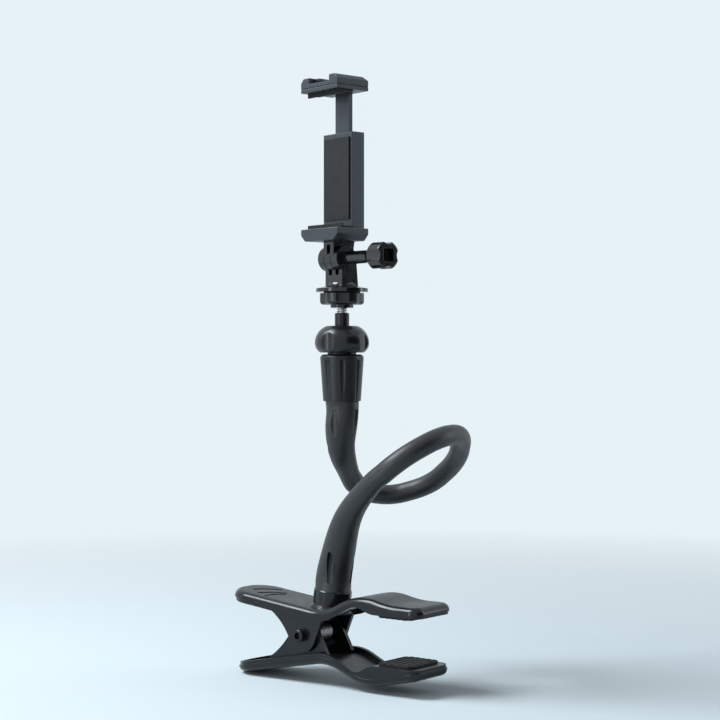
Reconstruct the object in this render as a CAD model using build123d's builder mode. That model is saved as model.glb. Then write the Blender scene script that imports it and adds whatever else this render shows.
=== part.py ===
"""Gooseneck phone holder: a spring clip, a bendable neck, a ball head, a pronged hinge and a phone clamp.

The origin is the middle of the upper clip jaw's gripping face. X runs along the clip toward the jaws'
tips and Z is up. Sizes are in millimetres.
"""
import os
from math import cos, radians, sin, sqrt, tan

from build123d import *

os.makedirs("parts", exist_ok=True)

# Spring clip: both arms
ARM_WIDTH = 36.0
ARM_SKIN = 3.2
ARM_LIP = 4.4
ARM_RIM = 6.6
RIM_STEP = 0.7
RIM_WALL = 2.3
ARM_EDGE_ROUND = 3.9
HANDLE_ROUND = 16.0
JAW_CORNER = 7.0
JAW_BLOCK_X = -16.0
GRIP_GAP = 26.0
PAD_LENGTH = 24.0
PAD_WIDTH = 30.0
PAD_T = 1.5
PAD_CORNER = 4.0
PAD_RIB_SPACE = 4.0
PAD_RIB_WIDTH = 1.2
PAD_RIB_DEPTH = 0.5

# Upper arm, side view from the handle's tip to the jaw
UPPER_TIP_X = -126.5
UPPER_END_X = 19.5
UPPER_TIP_Z = 8.0
UPPER_DIP = (-50.6, -0.5)
UPPER_CREST = (-25.8, 12.4)
UPPER_JAW_X = -1.9
UPPER_JAW_Z = 7.7
UPPER_ROUNDS = [34.0, 38.0, 60.0]
UPPER_RIM_ROUNDS = [34.0, 10.0, 20.0]
JAW_FACE_X = -15.0

# Lower arm, side view from the handle's tip to the jaw
LOWER_TIP_X = -123.0
LOWER_END_X = 18.0
LOWER_TIP_Z = -44.4
LOWER_ARCH = (-47.4, -29.85)
LOWER_BELLY = (-19.3, -41.4)
LOWER_END_Z = -33.2
LOWER_ROUNDS = [30.0, 34.0]
LOWER_RIM_BELLY = (-25.0, -33.6)
LOWER_RIM_ROUNDS = [30.0, 9.0, 16.0]

# Pivot, cheeks and torsion spring
PIVOT_X = -67.0
PIVOT_Z = -15.6
CHEEK_R = 10.2
CHEEK_T = 2.5
CHEEK_INSET = 2.5
CHEEK_GAP = 0.3
CHEEK_REAR_TURN = 10.8
CHEEK_FRONT_TURN = 22.0
UPPER_CHEEK_REAR = (-91.0, -2.8)
UPPER_CHEEK_WAIST = (-82.2, -10.0)
UPPER_CHEEK_FRONT = (-51.0, -4.0)
LOWER_CHEEK_REAR = (-94.0, -31.2)
LOWER_CHEEK_WAIST = (-85.5, -24.5)
LOWER_CHEEK_FRONT = (-49.5, -26.0)
BOLT_D = 5.0
BOLT_FIT = 0.08
BOLT_HEAD_D = 7.4
BOLT_HEAD_T = 4.0
BOLT_HEAD_EDGE = 0.5
BOLT_SOCKET = 4.0
BOLT_SOCKET_DEPTH = 2.2
NUT_FLATS = 8.0
NUT_T = 4.0
SPOOL_D = 10.4
WIRE_D = 1.8
COIL_R = 6.4
COIL_TURNS = 7
COIL_OVERLAP = 0.1
LEG_END_X = -101.0
LEG_D = 1.5
LEG_SHIFT = 0.1
LEG_GAP = 0.15

# Collar and neck fittings
COLLAR_X = -57.0
COLLAR_ROOT_Z = -1.5
COLLAR_TILT = 7.5
COLLAR_D = 22.6
COLLAR_H = 12.8
COLLAR_FOOT_D = 25.0
COLLAR_FOOT_LOW = 2.0
COLLAR_FOOT_HIGH = 4.0
COLLAR_EDGE = 0.6
COLLAR_FLOOR = 1.0
FITTING_D = 15.0
FITTING_FIT = 0.1
BASE_SCREW_D = 4.0
BASE_SCREW_HEAD_D = 8.4
BASE_SCREW_HEAD_T = 2.4
BASE_SCREW_SOCKET = 2.5
BASE_SCREW_SOCKET_DEPTH = 1.3
BASE_SCREW_SEAT = -0.6
BASE_SCREW_REACH = 5.0
SEAT_CLEAR = 0.4

# Neck
NECK_D = 12.0
NECK_BASE_D = 21.4
NECK_TOP_D = 19.6
CORE_D = 7.6
CORE_FIT = 0.3
CORE_ENTRY = 6.0
RUN_SHARE = 0.45
FIRST_RUN = 15.0
LAST_RUN = 12.0
# Corners of the neck's route, each from the middle of the ferrule's foot
NECK_CORNERS = [
    (7.0, -5.0, -68.4),
    (28.5, -14.5, -49.9),
    (53.0, -13.5, -31.4),
    (64.0, 9.0, -19.5),
    (60.0, 37.5, -18.9),
    (42.0, 59.0, -35.9),
    (16.5, 66.5, -52.4),
    (-6.5, 58.0, -59.7),
    (-15.5, 40.0, -56.9),
    (-11.5, 21.0, -45.4),
    (-3.5, 2.5, -25.9),
]
TAPER_STATIONS = 6
BASE_ACROSS = (0, 1, 0)
TOP_ACROSS = (1, 0, 0)
FLUTE_COUNT = 4
FLUTE_R = 2.6
FLUTE_START = 2.4
FLUTE_LENGTH = 26.0
FLUTE_DEPTH = 1.6
FLUTE_LEAN = 1.6
BASE_FLUTE_TURN = 23.0
TOP_FLUTE_TURN = 8.0

# Head axis and ferrule
HEAD_X = -45.5
HEAD_Y = -4.0
FERRULE_LOW = 122.9
FERRULE_H = 27.4
FERRULE_LOW_D = 22.2
FERRULE_TOP_D = 26.0
FERRULE_ROUND = 2.2
FERRULE_FLUTES = 8
FERRULE_FLUTE_R = 1.9
FERRULE_FLUTE_DEPTH = 1.3
FERRULE_FLUTE_LEAN = 1.7
FERRULE_FLUTE_TURN = 41.0
TOP_FITTING_D = 13.6
TOP_FITTING_GAP = 5.4

# Ball head
NECKING_D = 17.0
NECKING_DEPTH = 5.0
NECKING_RISE = 1.3
POST_D = 8.0
POST_GAP = 2.4
BODY_WALL = 2.9
BODY_FLOOR = 0.6
CUP_WALL = 1.9
CUP_BASE = 0.6
CUP_FIT = 0.1
CUP_DROP = 0.4
BALL_R = 7.2
BALL_FIT = 0.1
STEM_D = 8.5
STEM_REACH = 14.4
STEM_ROUND = 0.6
KNOB_GAP = 1.1
KNOB_H = 15.6
KNOB_D = 32.0
KNOB_WIDE_SHARE = 0.36
KNOB_EDGE = 0.4
KNOB_TOP_EDGE = 0.9
KNOB_MOUTH_FLARE = 1.55
KNOB_LIP_SHARE = 0.925
KNOB_SCALLOPS = 4
SCALLOP_R = 9.0
SCALLOP_DEPTH = 1.9
SCALLOP_TURN = 5.3
KNOB_BORE_FIT = 0.3
STUD_D = 6.35
STUD_ENTRY = 7.0
STUD_END_GAP = 0.5
STUD_CHAMFER = 0.6

# Lock nut and three-prong adapter
LOCK_HUB_D = 13.5
LOCK_GAP = 3.1
LOCK_HUB_H = 1.8
LOCK_H = 6.7
LOCK_D = 26.0
LOCK_ROUND = 2.0
LOCK_SCALLOPS = 6
LOCK_SCALLOP_R = 14.0
LOCK_SCALLOP_DEPTH = 1.1
LOCK_TURN = 10.0
STUD_FIT = 0.06
WASHER_D = 21.5
WASHER_T = 0.8
FLANGE_T = 3.3
FLANGE_D = 30.6
FLANGE_NOTCHES = 16
FLANGE_NOTCH_R = 1.1
HINGE_RISE = 16.2
HINGE_FORWARD = 3.0
PRONG_R = 7.5
PRONG_T = 3.0
PRONG_GAP = 3.1
BLOCK_FRONT = 6.3
BLOCK_BACK = 6.0
GAP_DEPTH = 10.0
INSERT_D = 9.6
INSERT_H = 7.5
HINGE_BOLT_D = 5.0
HINGE_BOLT_EDGE = 0.5
HINGE_FIT = 0.08
BOSS_D = 14.6
BOSS_T = 2.2
HINGE_NUT_FLATS = 8.0
HINGE_NUT_FIT = 0.05
HINGE_NUT_T = 3.3

# Thumb knob
THUMB_GAP = 0.2
THUMB_LENGTH = 37.0
THUMB_SHAFT_D = 7.6
THUMB_FLARE_START = 17.5
THUMB_FLARE_END = 27.0
THUMB_D = 16.4
THUMB_ROUND = 1.0
THUMB_SCALLOP_R = 5.0
THUMB_SCALLOP_DEPTH = 1.9
THUMB_RECESS = 7.6
THUMB_RECESS_DEPTH = 6.0
THUMB_RECESS_ROUND = 1.4
THUMB_GRIP = 12.0

# Two-prong adapter and clamp screw
FORK_PRONG_R = 7.3
FORK_PRONG_T = 2.9
FORK_CLEAR = 0.4
FORK_SEAT_T = 2.1
FORK_BACK_FLARE = 1.5
CLAMP_SCREW_REACH = 5.0

# Phone clamp: u runs along the phone, v runs away from the phone's front
CLAMP_TURN = -11.5
JAW_H = 7.1
JAW_HALF = 16.7
JAW_FRONT = -17.7
JAW_BACK = 6.3
JAW_BEVEL = 3.5
METAL_EDGE = 0.35
OPENING = 78.1
JAW_PAD_T = 1.0
JAW_PAD_HALF = 15.6
JAW_PAD_FRONT = -13.2
JAW_PAD_BACK = -4.6
PAD_LIP_T = 1.0
PAD_LIP_H = 1.5
JAW_PLATE_T = 2.4
SHOE_H = 6.0
SHOE_SLOT = 18.8
SHOE_MOUTH = 12.7
SHOE_FLOOR = 2.3
SHOE_SLOT_H = 2.1
SHOE_LEAD = 5.5
SHOE_SIDE_BEVEL = 2.4
SHOE_BACK_BEVEL = 3.0
SHOE_SCREW_D = 3.0
SHOE_SCREW_HEAD_D = 5.4
SHOE_SCREW_HEAD_T = 1.4
SHOE_SCREW_SOCKET = 2.0
SHOE_SCREW_SOCKET_DEPTH = 0.8
SHOE_SCREW_REACH = 3.4
SHOE_SCREW_V = (-12.5, -5.0)

# Clamp spine and spring slide
HOUSING_HALF = 13.0
HOUSING_FRONT = -3.5
COVER_T = 2.0
HOUSING_H = 56.4
POCKET_HALF = 11.4
POCKET_FRONT = -1.4
POCKET_FLOOR = 3.4
POCKET_ROOF = 4.0
BLADE_HALF = 6.0
BLADE_FRONT = 0.0
BLADE_T = 3.0
BLADE_FIT = 0.1
LUG_RISE = 21.5
LUG_H = 4.0
LUG_HALF = 11.0
LUG_FIT = 0.2
ROD_D = 3.0
ROD_U = 8.8
ROD_ENTRY = 2.0
ROD_FIT = 0.1
SPRING_D = 4.6
SPRING_BORE = 3.4
SPRING_GAP = 0.05
COVER_SCREW_D = 1.6
COVER_SCREW_HEAD_D = 2.6
COVER_SCREW_HEAD_T = 0.9
COVER_SCREW_REACH = 3.2
COVER_SCREW_CROSS = 1.7
COVER_SCREW_CROSS_WIDTH = 0.45
COVER_SCREW_CROSS_DEPTH = 0.45
COVER_SCREW_LOW = 2.0
COVER_SCREW_TOP = 1.6
COVER_SCREW_U = 11.4
HOUSING_SCREW_D = 3.0
HOUSING_SCREW_HEAD_D = 5.0
HOUSING_SCREW_HEAD_T = 2.6
HOUSING_SCREW_SOCKET = 2.5
HOUSING_SCREW_SOCKET_DEPTH = 1.3
HOUSING_SCREW_U = 5.6
HOUSING_SCREW_V = 2.6
HOUSING_SCREW_REACH = 2.4
SPINE_PAD_HALF = 11.4
SPINE_PAD_RISE = 5.4
SPINE_PAD_DROP = 3.0
SPINE_PAD_T = 1.0

# Sketch planes reach past the solids by this much
PLAN_LOW = -60.0
PLAN_H = 120.0

# A direction counts as steep when this much of it lies along one axis
STEEP = 0.7

# Derived sizes
jaw_face_z = PAD_T
lower_face_z = -GRIP_GAP - PAD_T
upper_cheek_out = ARM_WIDTH / 2 - CHEEK_INSET
upper_cheek_in = upper_cheek_out - CHEEK_T
lower_cheek_in = upper_cheek_in - CHEEK_GAP - CHEEK_T
stack = 3 * PRONG_T + 2 * PRONG_GAP

# Heights up the head axis, each from the piece below
ferrule_high = FERRULE_LOW + FERRULE_H
necking_low = ferrule_high - NECKING_DEPTH
post_low = FERRULE_LOW + CORE_ENTRY + POST_GAP
fitting_high = necking_low - TOP_FITTING_GAP
body_low = ferrule_high + NECKING_RISE
body_floor = body_low + BODY_FLOOR
cup_low = body_floor + CUP_FIT
ball_z = cup_low + CUP_BASE + BALL_FIT + BALL_R
body_high = ball_z - CUP_DROP
cup_high = body_high - CUP_FIT
stem_high = ball_z + STEM_REACH
knob_low = ferrule_high + KNOB_GAP
knob_high = knob_low + KNOB_H
hub_low = stem_high + LOCK_GAP
lock_low = hub_low + LOCK_HUB_H
lock_high = lock_low + LOCK_H
flange_low = lock_high + WASHER_T
flange_high = flange_low + FLANGE_T
stud_high = flange_low + INSERT_H - STUD_END_GAP
hinge_z = flange_high + HINGE_RISE
fork_low = hinge_z + PRONG_R + FORK_CLEAR
jaw_low = fork_low + FORK_SEAT_T
jaw_metal_top = jaw_low + JAW_H
seat_z = jaw_metal_top + JAW_PAD_T
housing_high = jaw_metal_top + HOUSING_H
pocket_low = jaw_metal_top + POCKET_FLOOR
pocket_high = housing_high - POCKET_ROOF
lug_low = pocket_low + LUG_RISE
cover_screw_heights = (jaw_metal_top + COVER_SCREW_LOW, housing_high - COVER_SCREW_TOP)
upper_contact = seat_z + OPENING
plate_low = upper_contact + JAW_PAD_T
shoe_low = plate_low + JAW_PLATE_T
shoe_high = shoe_low + SHOE_H
housing_back = JAW_BACK - COVER_T

# Ball head diameters, each from the ball outward
cup_d = 2 * (BALL_R + BALL_FIT + CUP_WALL)
body_d = cup_d + 2 * (CUP_FIT + BODY_WALL)

# Turning axes
pivot_axis = Axis((PIVOT_X, 0, PIVOT_Z), (0, 1, 0))
head_axis = Axis((HEAD_X, HEAD_Y, 0), (0, 0, 1))

# Collar axis and planes
lean = radians(COLLAR_TILT)
collar_root = (COLLAR_X, 0, COLLAR_ROOT_Z)
collar_dir = (sin(lean), 0, cos(lean))
collar_plane = Plane(origin=collar_root, x_dir=(cos(lean), 0, -sin(lean)), z_dir=collar_dir)
collar_section = Plane(origin=collar_root, x_dir=(cos(lean), 0, -sin(lean)), z_dir=(0, -1, 0))
collar_axis = Axis(collar_root, collar_dir)

# Head plane: section through the axis
head_section = Plane(origin=(HEAD_X, HEAD_Y, 0), x_dir=(1, 0, 0), z_dir=(0, -1, 0))

# Clamp directions
turn = radians(CLAMP_TURN)
u_dir = Vector(cos(turn), sin(turn), 0)
v_dir = Vector(-sin(turn), cos(turn), 0)
depth_axis = Axis((HEAD_X, HEAD_Y, 0), v_dir)

# Hinge, in front of the head axis and turned with the clamp: planes across it and along it
hinge_mid = Vector(HEAD_X, HEAD_Y, hinge_z) - v_dir * HINGE_FORWARD
hinge_axis = Axis(hinge_mid, u_dir)
hinge_side = Plane(origin=hinge_mid, x_dir=v_dir, z_dir=u_dir)
hinge_front = Plane(origin=hinge_mid, x_dir=u_dir, z_dir=v_dir * -1)


def head_plan(height):
    """Level plane on the head axis, at a height."""
    return Plane(origin=(HEAD_X, HEAD_Y, height), x_dir=(1, 0, 0), z_dir=(0, 0, 1))


def clamp_plan(height):
    """Level plane turned with the clamp: local x is u and local y is v."""
    return Plane(origin=(HEAD_X, HEAD_Y, height), x_dir=u_dir, z_dir=(0, 0, 1))


def clamp_front(depth):
    """Upright plane facing the clamp's front at v = depth: local x is u and local y is height."""
    origin = Vector(HEAD_X, HEAD_Y, 0) + v_dir * depth
    return Plane(origin=origin, x_dir=u_dir, z_dir=v_dir * -1)


def clamp_side(shift):
    """Upright plane across the clamp at u = shift: local x is v and local y is height."""
    origin = Vector(HEAD_X, HEAD_Y, 0) + u_dir * shift
    return Plane(origin=origin, x_dir=v_dir, z_dir=u_dir)


def outline(plane, *points):
    """Closed straight-sided outline on a plane."""
    with BuildSketch(plane) as sketch:
        with BuildLine():
            Polyline(*points, close=True)
        make_face()
    return sketch.sketch


def disc(plane, diameter, bore=0.0, at=(0, 0)):
    """Disc or ring on a plane."""
    with BuildSketch(plane) as sketch:
        with Locations(at):
            Circle(diameter / 2)
            if bore > 0:
                Circle(bore / 2, mode=Mode.SUBTRACT)
    return sketch.sketch


def block(plane, low_x, high_x, low_y, high_y):
    """Rectangle on a plane, from its corners."""
    with BuildSketch(plane) as sketch:
        with Locations(((low_x + high_x) / 2, (low_y + high_y) / 2)):
            Rectangle(high_x - low_x, high_y - low_y)
    return sketch.sketch


def hexagon(plane, flats, at=(0, 0)):
    """Hexagon across its flats on a plane."""
    with BuildSketch(plane) as sketch:
        with Locations(at):
            RegularPolygon(flats / 2, 6, major_radius=False)
    return sketch.sketch


def arm_band(upper, upper_rounds, lower, lower_rounds):
    """Side view of an arm between two lines."""
    with BuildSketch(Plane.XZ) as side:
        with BuildLine():
            top = FilletPolyline(*upper, radius=upper_rounds)
            base = FilletPolyline(*lower, radius=lower_rounds)
            Line(top @ 0, base @ 0)
            Line(top @ 1, base @ 1)
        make_face()
    return side.sketch


def arm_plan(tip_x, end_x, inset):
    """Plan of an arm: round at the handle, soft corners at the jaw."""
    with BuildSketch(Plane.XY.offset(PLAN_LOW)) as plan:
        with Locations(((tip_x + end_x) / 2, 0)):
            Rectangle(end_x - tip_x - 2 * inset, ARM_WIDTH - 2 * inset)
        fillet(plan.vertices().sort_by(Axis.X)[:2], HANDLE_ROUND - inset)
        fillet(plan.vertices().sort_by(Axis.X)[-2:], JAW_CORNER - inset)
    return plan.sketch


def arm_pocket(tip_x):
    """Plan of the hollow inside an arm's turned rim, up to the solid jaw."""
    inset = RIM_STEP + RIM_WALL
    with BuildSketch(Plane.XY.offset(PLAN_LOW)) as plan:
        with Locations(((tip_x + inset + JAW_BLOCK_X) / 2, 0)):
            Rectangle(JAW_BLOCK_X - tip_x - inset, ARM_WIDTH - 2 * inset)
        fillet(plan.vertices().sort_by(Axis.X)[:2], HANDLE_ROUND - inset)
        fillet(plan.vertices().sort_by(Axis.X)[-2:], JAW_CORNER - inset)
    return plan.sketch


def arm_hollow(tip_x, skin, skin_rounds, rim, rim_rounds):
    """Hollow under an arm's skin, inside its turned rim."""
    depth = extrude(arm_band(skin, skin_rounds, rim, rim_rounds), amount=ARM_WIDTH / 2, both=True)
    return depth & extrude(arm_pocket(tip_x), amount=PLAN_H)


def border(faces):
    """Edges that belong to only one of the faces."""
    edges = [edge for face in faces for edge in face.edges()]
    return [edge for edge in edges if sum(edge.is_same(other) for other in edges) == 1]


def shifted(points, drop):
    """The same line at another height."""
    return [(x, z + drop) for x, z in points]


def on_pivot(radius, angle):
    """Point in side view, at a radius and angle about the pivot."""
    return (PIVOT_X + radius * cos(radians(angle)), PIVOT_Z + radius * sin(radians(angle)))


def cheek(offset, root_rear, rear, rear_mid, front, root_front, flip):
    """Side view of a cheek with a round end on the pivot; flip is 1 where the end hangs down."""
    rear_end = on_pivot(CHEEK_R, 180 + flip * CHEEK_REAR_TURN)
    front_end = on_pivot(CHEEK_R, -flip * CHEEK_FRONT_TURN)
    with BuildSketch(Plane.XZ.offset(offset)) as side:
        with BuildLine():
            Line(root_rear, rear)
            ThreePointArc(rear, rear_mid, rear_end)
            ThreePointArc(rear_end, on_pivot(CHEEK_R, -flip * 90), front_end)
            Polyline(front_end, front, root_front, root_rear)
        make_face()
    return side.sketch


def cheek_offsets(inner):
    """Sketch offsets of the near and far cheek, each extruded toward the near side."""
    return (inner, -inner - CHEEK_T)


def pivot_bore():
    """Bore for the cross bolt."""
    return disc(Plane.XZ.offset(-ARM_WIDTH), BOLT_D + 2 * BOLT_FIT, at=(PIVOT_X, PIVOT_Z))


def pad_plan(height):
    """Plan of a grip pad."""
    with BuildSketch(Plane.XY.offset(height)) as plan:
        RectangleRounded(PAD_LENGTH, PAD_WIDTH, PAD_CORNER)
    return plan.sketch


def pad_ribs(height):
    """Plan of the grooves across a grip pad's face."""
    with BuildSketch(Plane.XY.offset(height)) as plan:
        with GridLocations(PAD_RIB_SPACE, 0, 2 * int(PAD_LENGTH / PAD_RIB_SPACE / 2), 1):
            Rectangle(PAD_RIB_WIDTH, PAD_WIDTH)
    return plan.sketch


# Lines of the two arms in side view
upper_top = [
    (UPPER_TIP_X, UPPER_TIP_Z),
    UPPER_DIP,
    UPPER_CREST,
    (UPPER_JAW_X, UPPER_JAW_Z),
    (UPPER_END_X, UPPER_JAW_Z),
]
upper_skin = shifted(upper_top, -ARM_SKIN)
upper_lip = shifted(upper_top, -ARM_LIP)
upper_rim = shifted(upper_top[:3], -ARM_RIM) + [(JAW_FACE_X, jaw_face_z), (UPPER_END_X, jaw_face_z)]
lower_base = [(LOWER_TIP_X, LOWER_TIP_Z), LOWER_ARCH, LOWER_BELLY, (LOWER_END_X, LOWER_END_Z)]
lower_skin = shifted(lower_base, ARM_SKIN)
lower_lip = shifted(lower_base, ARM_LIP)
lower_rim = shifted(lower_base[:2], ARM_RIM) + [
    LOWER_RIM_BELLY,
    (JAW_FACE_X, lower_face_z),
    (LOWER_END_X, lower_face_z),
]
handle_slope = (UPPER_DIP[1] - UPPER_TIP_Z) / (UPPER_DIP[0] - UPPER_TIP_X)
lower_slope = (LOWER_ARCH[1] - LOWER_TIP_Z) / (LOWER_ARCH[0] - LOWER_TIP_X)


def handle_z(x):
    """Height of the upper handle's top."""
    return UPPER_TIP_Z + handle_slope * (x - UPPER_TIP_X)


def lower_handle_z(x):
    """Height of the lower handle's underside."""
    return LOWER_TIP_Z + lower_slope * (x - LOWER_TIP_X)


# Hollows of the two trays, open past their rims
upper_hollow = arm_hollow(
    UPPER_TIP_X,
    upper_skin,
    UPPER_ROUNDS,
    shifted(upper_rim, -ARM_LIP),
    UPPER_RIM_ROUNDS,
)
lower_hollow = arm_hollow(
    LOWER_TIP_X,
    lower_skin,
    LOWER_ROUNDS,
    shifted(lower_rim, ARM_LIP),
    LOWER_RIM_ROUNDS,
)

# Upper arm: waved plate with a stepped turned rim, solid jaw, two cheeks and the neck collar
with BuildPart() as upper_arm:
    extrude(
        arm_band(upper_lip, UPPER_ROUNDS, upper_rim, UPPER_RIM_ROUNDS),
        amount=ARM_WIDTH / 2,
        both=True,
    )
    extrude(arm_plan(UPPER_TIP_X, UPPER_END_X, RIM_STEP), amount=PLAN_H, mode=Mode.INTERSECT)
    extrude(
        arm_band(upper_top, UPPER_ROUNDS, upper_lip, UPPER_ROUNDS),
        amount=ARM_WIDTH / 2,
        both=True,
    )
    extrude(arm_plan(UPPER_TIP_X, UPPER_END_X, 0), amount=PLAN_H, mode=Mode.INTERSECT)
    fillet(border(upper_arm.faces().filter_by(lambda face: face.normal_at().Z > STEEP)), ARM_EDGE_ROUND)
    add(upper_hollow, mode=Mode.SUBTRACT)
    for offset in cheek_offsets(upper_cheek_in):
        extrude(
            cheek(
                offset,
                (UPPER_CHEEK_REAR[0], handle_z(UPPER_CHEEK_REAR[0]) - ARM_SKIN / 2),
                UPPER_CHEEK_REAR,
                UPPER_CHEEK_WAIST,
                UPPER_CHEEK_FRONT,
                (UPPER_CHEEK_FRONT[0], UPPER_DIP[1] - ARM_SKIN / 4),
                1,
            ),
            amount=CHEEK_T,
        )
    revolve(
        outline(
            collar_section,
            (0, 0),
            (COLLAR_FOOT_D / 2, 0),
            (COLLAR_FOOT_D / 2, COLLAR_FOOT_LOW),
            (COLLAR_D / 2, COLLAR_FOOT_HIGH),
            (COLLAR_D / 2, COLLAR_H - COLLAR_EDGE),
            (COLLAR_D / 2 - COLLAR_EDGE, COLLAR_H),
            (0, COLLAR_H),
        ),
        axis=collar_axis,
    )
    extrude(pivot_bore(), amount=2 * ARM_WIDTH, mode=Mode.SUBTRACT)
    extrude(
        disc(collar_plane.offset(COLLAR_FLOOR), FITTING_D + 2 * FITTING_FIT),
        amount=COLLAR_H,
        mode=Mode.SUBTRACT,
    )
    extrude(
        disc(collar_plane.offset(COLLAR_FLOOR), BASE_SCREW_D + 2 * FITTING_FIT),
        amount=-COLLAR_H,
        mode=Mode.SUBTRACT,
    )
    extrude(
        disc(collar_plane.offset(BASE_SCREW_SEAT), BASE_SCREW_HEAD_D + 2 * SEAT_CLEAR),
        amount=-BASE_SCREW_HEAD_T,
        mode=Mode.SUBTRACT,
    )
upper_arm.part.label = "upper_arm"
export_step(upper_arm.part, "parts/upper_arm.step")

# Lower arm: the same tray turned over, with inner cheeks
with BuildPart() as lower_arm:
    extrude(
        arm_band(lower_rim, LOWER_RIM_ROUNDS, lower_lip, LOWER_ROUNDS),
        amount=ARM_WIDTH / 2,
        both=True,
    )
    extrude(arm_plan(LOWER_TIP_X, LOWER_END_X, RIM_STEP), amount=PLAN_H, mode=Mode.INTERSECT)
    extrude(
        arm_band(lower_lip, LOWER_ROUNDS, lower_base, LOWER_ROUNDS),
        amount=ARM_WIDTH / 2,
        both=True,
    )
    extrude(arm_plan(LOWER_TIP_X, LOWER_END_X, 0), amount=PLAN_H, mode=Mode.INTERSECT)
    fillet(border(lower_arm.faces().filter_by(lambda face: face.normal_at().Z < -STEEP)), ARM_EDGE_ROUND)
    add(lower_hollow, mode=Mode.SUBTRACT)
    for offset in cheek_offsets(lower_cheek_in):
        extrude(
            cheek(
                offset,
                (LOWER_CHEEK_REAR[0], lower_handle_z(LOWER_CHEEK_REAR[0]) + ARM_SKIN / 2),
                LOWER_CHEEK_REAR,
                LOWER_CHEEK_WAIST,
                LOWER_CHEEK_FRONT,
                (LOWER_CHEEK_FRONT[0], LOWER_ARCH[1]),
                -1,
            ),
            amount=CHEEK_T,
        )
    extrude(pivot_bore(), amount=2 * ARM_WIDTH, mode=Mode.SUBTRACT)
lower_arm.part.label = "lower_arm"
export_step(lower_arm.part, "parts/lower_arm.step")

# Grip pads: ribbed across, one under each jaw
with BuildPart() as upper_grip_pad:
    extrude(pad_plan(0), amount=PAD_T)
    extrude(pad_ribs(0), amount=PAD_RIB_DEPTH, mode=Mode.SUBTRACT)
upper_grip_pad.part.label = "upper_grip_pad"
export_step(upper_grip_pad.part, "parts/upper_grip_pad.step")

with BuildPart() as lower_grip_pad:
    extrude(pad_plan(-GRIP_GAP), amount=-PAD_T)
    extrude(pad_ribs(-GRIP_GAP), amount=-PAD_RIB_DEPTH, mode=Mode.SUBTRACT)
lower_grip_pad.part.label = "lower_grip_pad"
export_step(lower_grip_pad.part, "parts/lower_grip_pad.step")

# Cross bolt with a socket head on the near side, and its nut on the far side
with BuildPart() as pivot_bolt:
    extrude(
        disc(Plane.XZ.offset(-upper_cheek_out - NUT_T), BOLT_D, at=(PIVOT_X, PIVOT_Z)),
        amount=2 * upper_cheek_out + NUT_T,
    )
    extrude(disc(Plane.XZ.offset(upper_cheek_out), BOLT_HEAD_D, at=(PIVOT_X, PIVOT_Z)), amount=BOLT_HEAD_T)
    chamfer(pivot_bolt.faces().sort_by(Axis.Y)[0].edges(), BOLT_HEAD_EDGE)
    extrude(
        hexagon(Plane.XZ.offset(upper_cheek_out + BOLT_HEAD_T), BOLT_SOCKET, at=(PIVOT_X, PIVOT_Z)),
        amount=-BOLT_SOCKET_DEPTH,
        mode=Mode.SUBTRACT,
    )
pivot_bolt.part.label = "pivot_bolt"
export_step(pivot_bolt.part, "parts/pivot_bolt.step")

with BuildPart() as pivot_nut:
    extrude(hexagon(Plane.XZ.offset(-upper_cheek_out), NUT_FLATS, at=(PIVOT_X, PIVOT_Z)), amount=-NUT_T)
    extrude(
        disc(Plane.XZ.offset(-upper_cheek_out), BOLT_D, at=(PIVOT_X, PIVOT_Z)),
        amount=-NUT_T,
        mode=Mode.SUBTRACT,
    )
pivot_nut.part.label = "pivot_nut"
export_step(pivot_nut.part, "parts/pivot_nut.step")

# Bush that keeps the inner cheeks apart and carries the coil
spool_half = lower_cheek_in - CHEEK_GAP
with BuildPart() as spring_spool:
    extrude(
        disc(Plane.XZ.offset(-spool_half), SPOOL_D, BOLT_D + 2 * BOLT_FIT, at=(PIVOT_X, PIVOT_Z)),
        amount=2 * spool_half,
    )
spring_spool.part.label = "spring_spool"
export_step(spring_spool.part, "parts/spring_spool.step")


def leg(start_y, side, end_z):
    """Plane and length of a spring leg that leaves the coil at a tangent and ends under a handle."""
    reach_x = LEG_END_X - PIVOT_X
    reach_z = end_z - PIVOT_Z
    reach = sqrt(reach_x**2 + reach_z**2)
    run = sqrt(reach**2 - COIL_R**2)
    off_x = (COIL_R * reach_x - side * run * -reach_z) * COIL_R / reach**2
    off_z = (COIL_R * reach_z + side * run * -reach_x) * COIL_R / reach**2
    start = Vector(PIVOT_X + off_x, start_y, PIVOT_Z + off_z)
    end = Vector(LEG_END_X, start_y, end_z)
    return Plane(origin=start, z_dir=end - start), (end - start).length


# Torsion spring: close-wound turns on the bush, one leg to each handle
coil_step = WIRE_D - COIL_OVERLAP
leg_y = (COIL_TURNS - 1) * coil_step / 2 + LEG_SHIFT
upper_leg_z = handle_z(LEG_END_X) - ARM_SKIN - LEG_D / 2 - LEG_GAP
lower_leg_z = lower_handle_z(LEG_END_X) + ARM_SKIN + LEG_D / 2 + LEG_GAP
coil_plane = Plane(origin=(PIVOT_X, 0, PIVOT_Z), x_dir=(1, 0, 0), z_dir=(0, 0, 1))
with BuildPart() as torsion_spring:
    with BuildSketch(coil_plane) as turns:
        with Locations((COIL_R, 0)):
            with GridLocations(0, coil_step, 1, COIL_TURNS):
                Circle(WIRE_D / 2)
    revolve(axis=pivot_axis)
    for start_y, side, end_z in ((leg_y, 1, upper_leg_z), (-leg_y, -1, lower_leg_z)):
        leg_plane, leg_length = leg(start_y, side, end_z)
        extrude(disc(leg_plane, LEG_D), amount=leg_length)
torsion_spring.part.label = "torsion_spring"
export_step(torsion_spring.part, "parts/torsion_spring.step")

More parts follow.
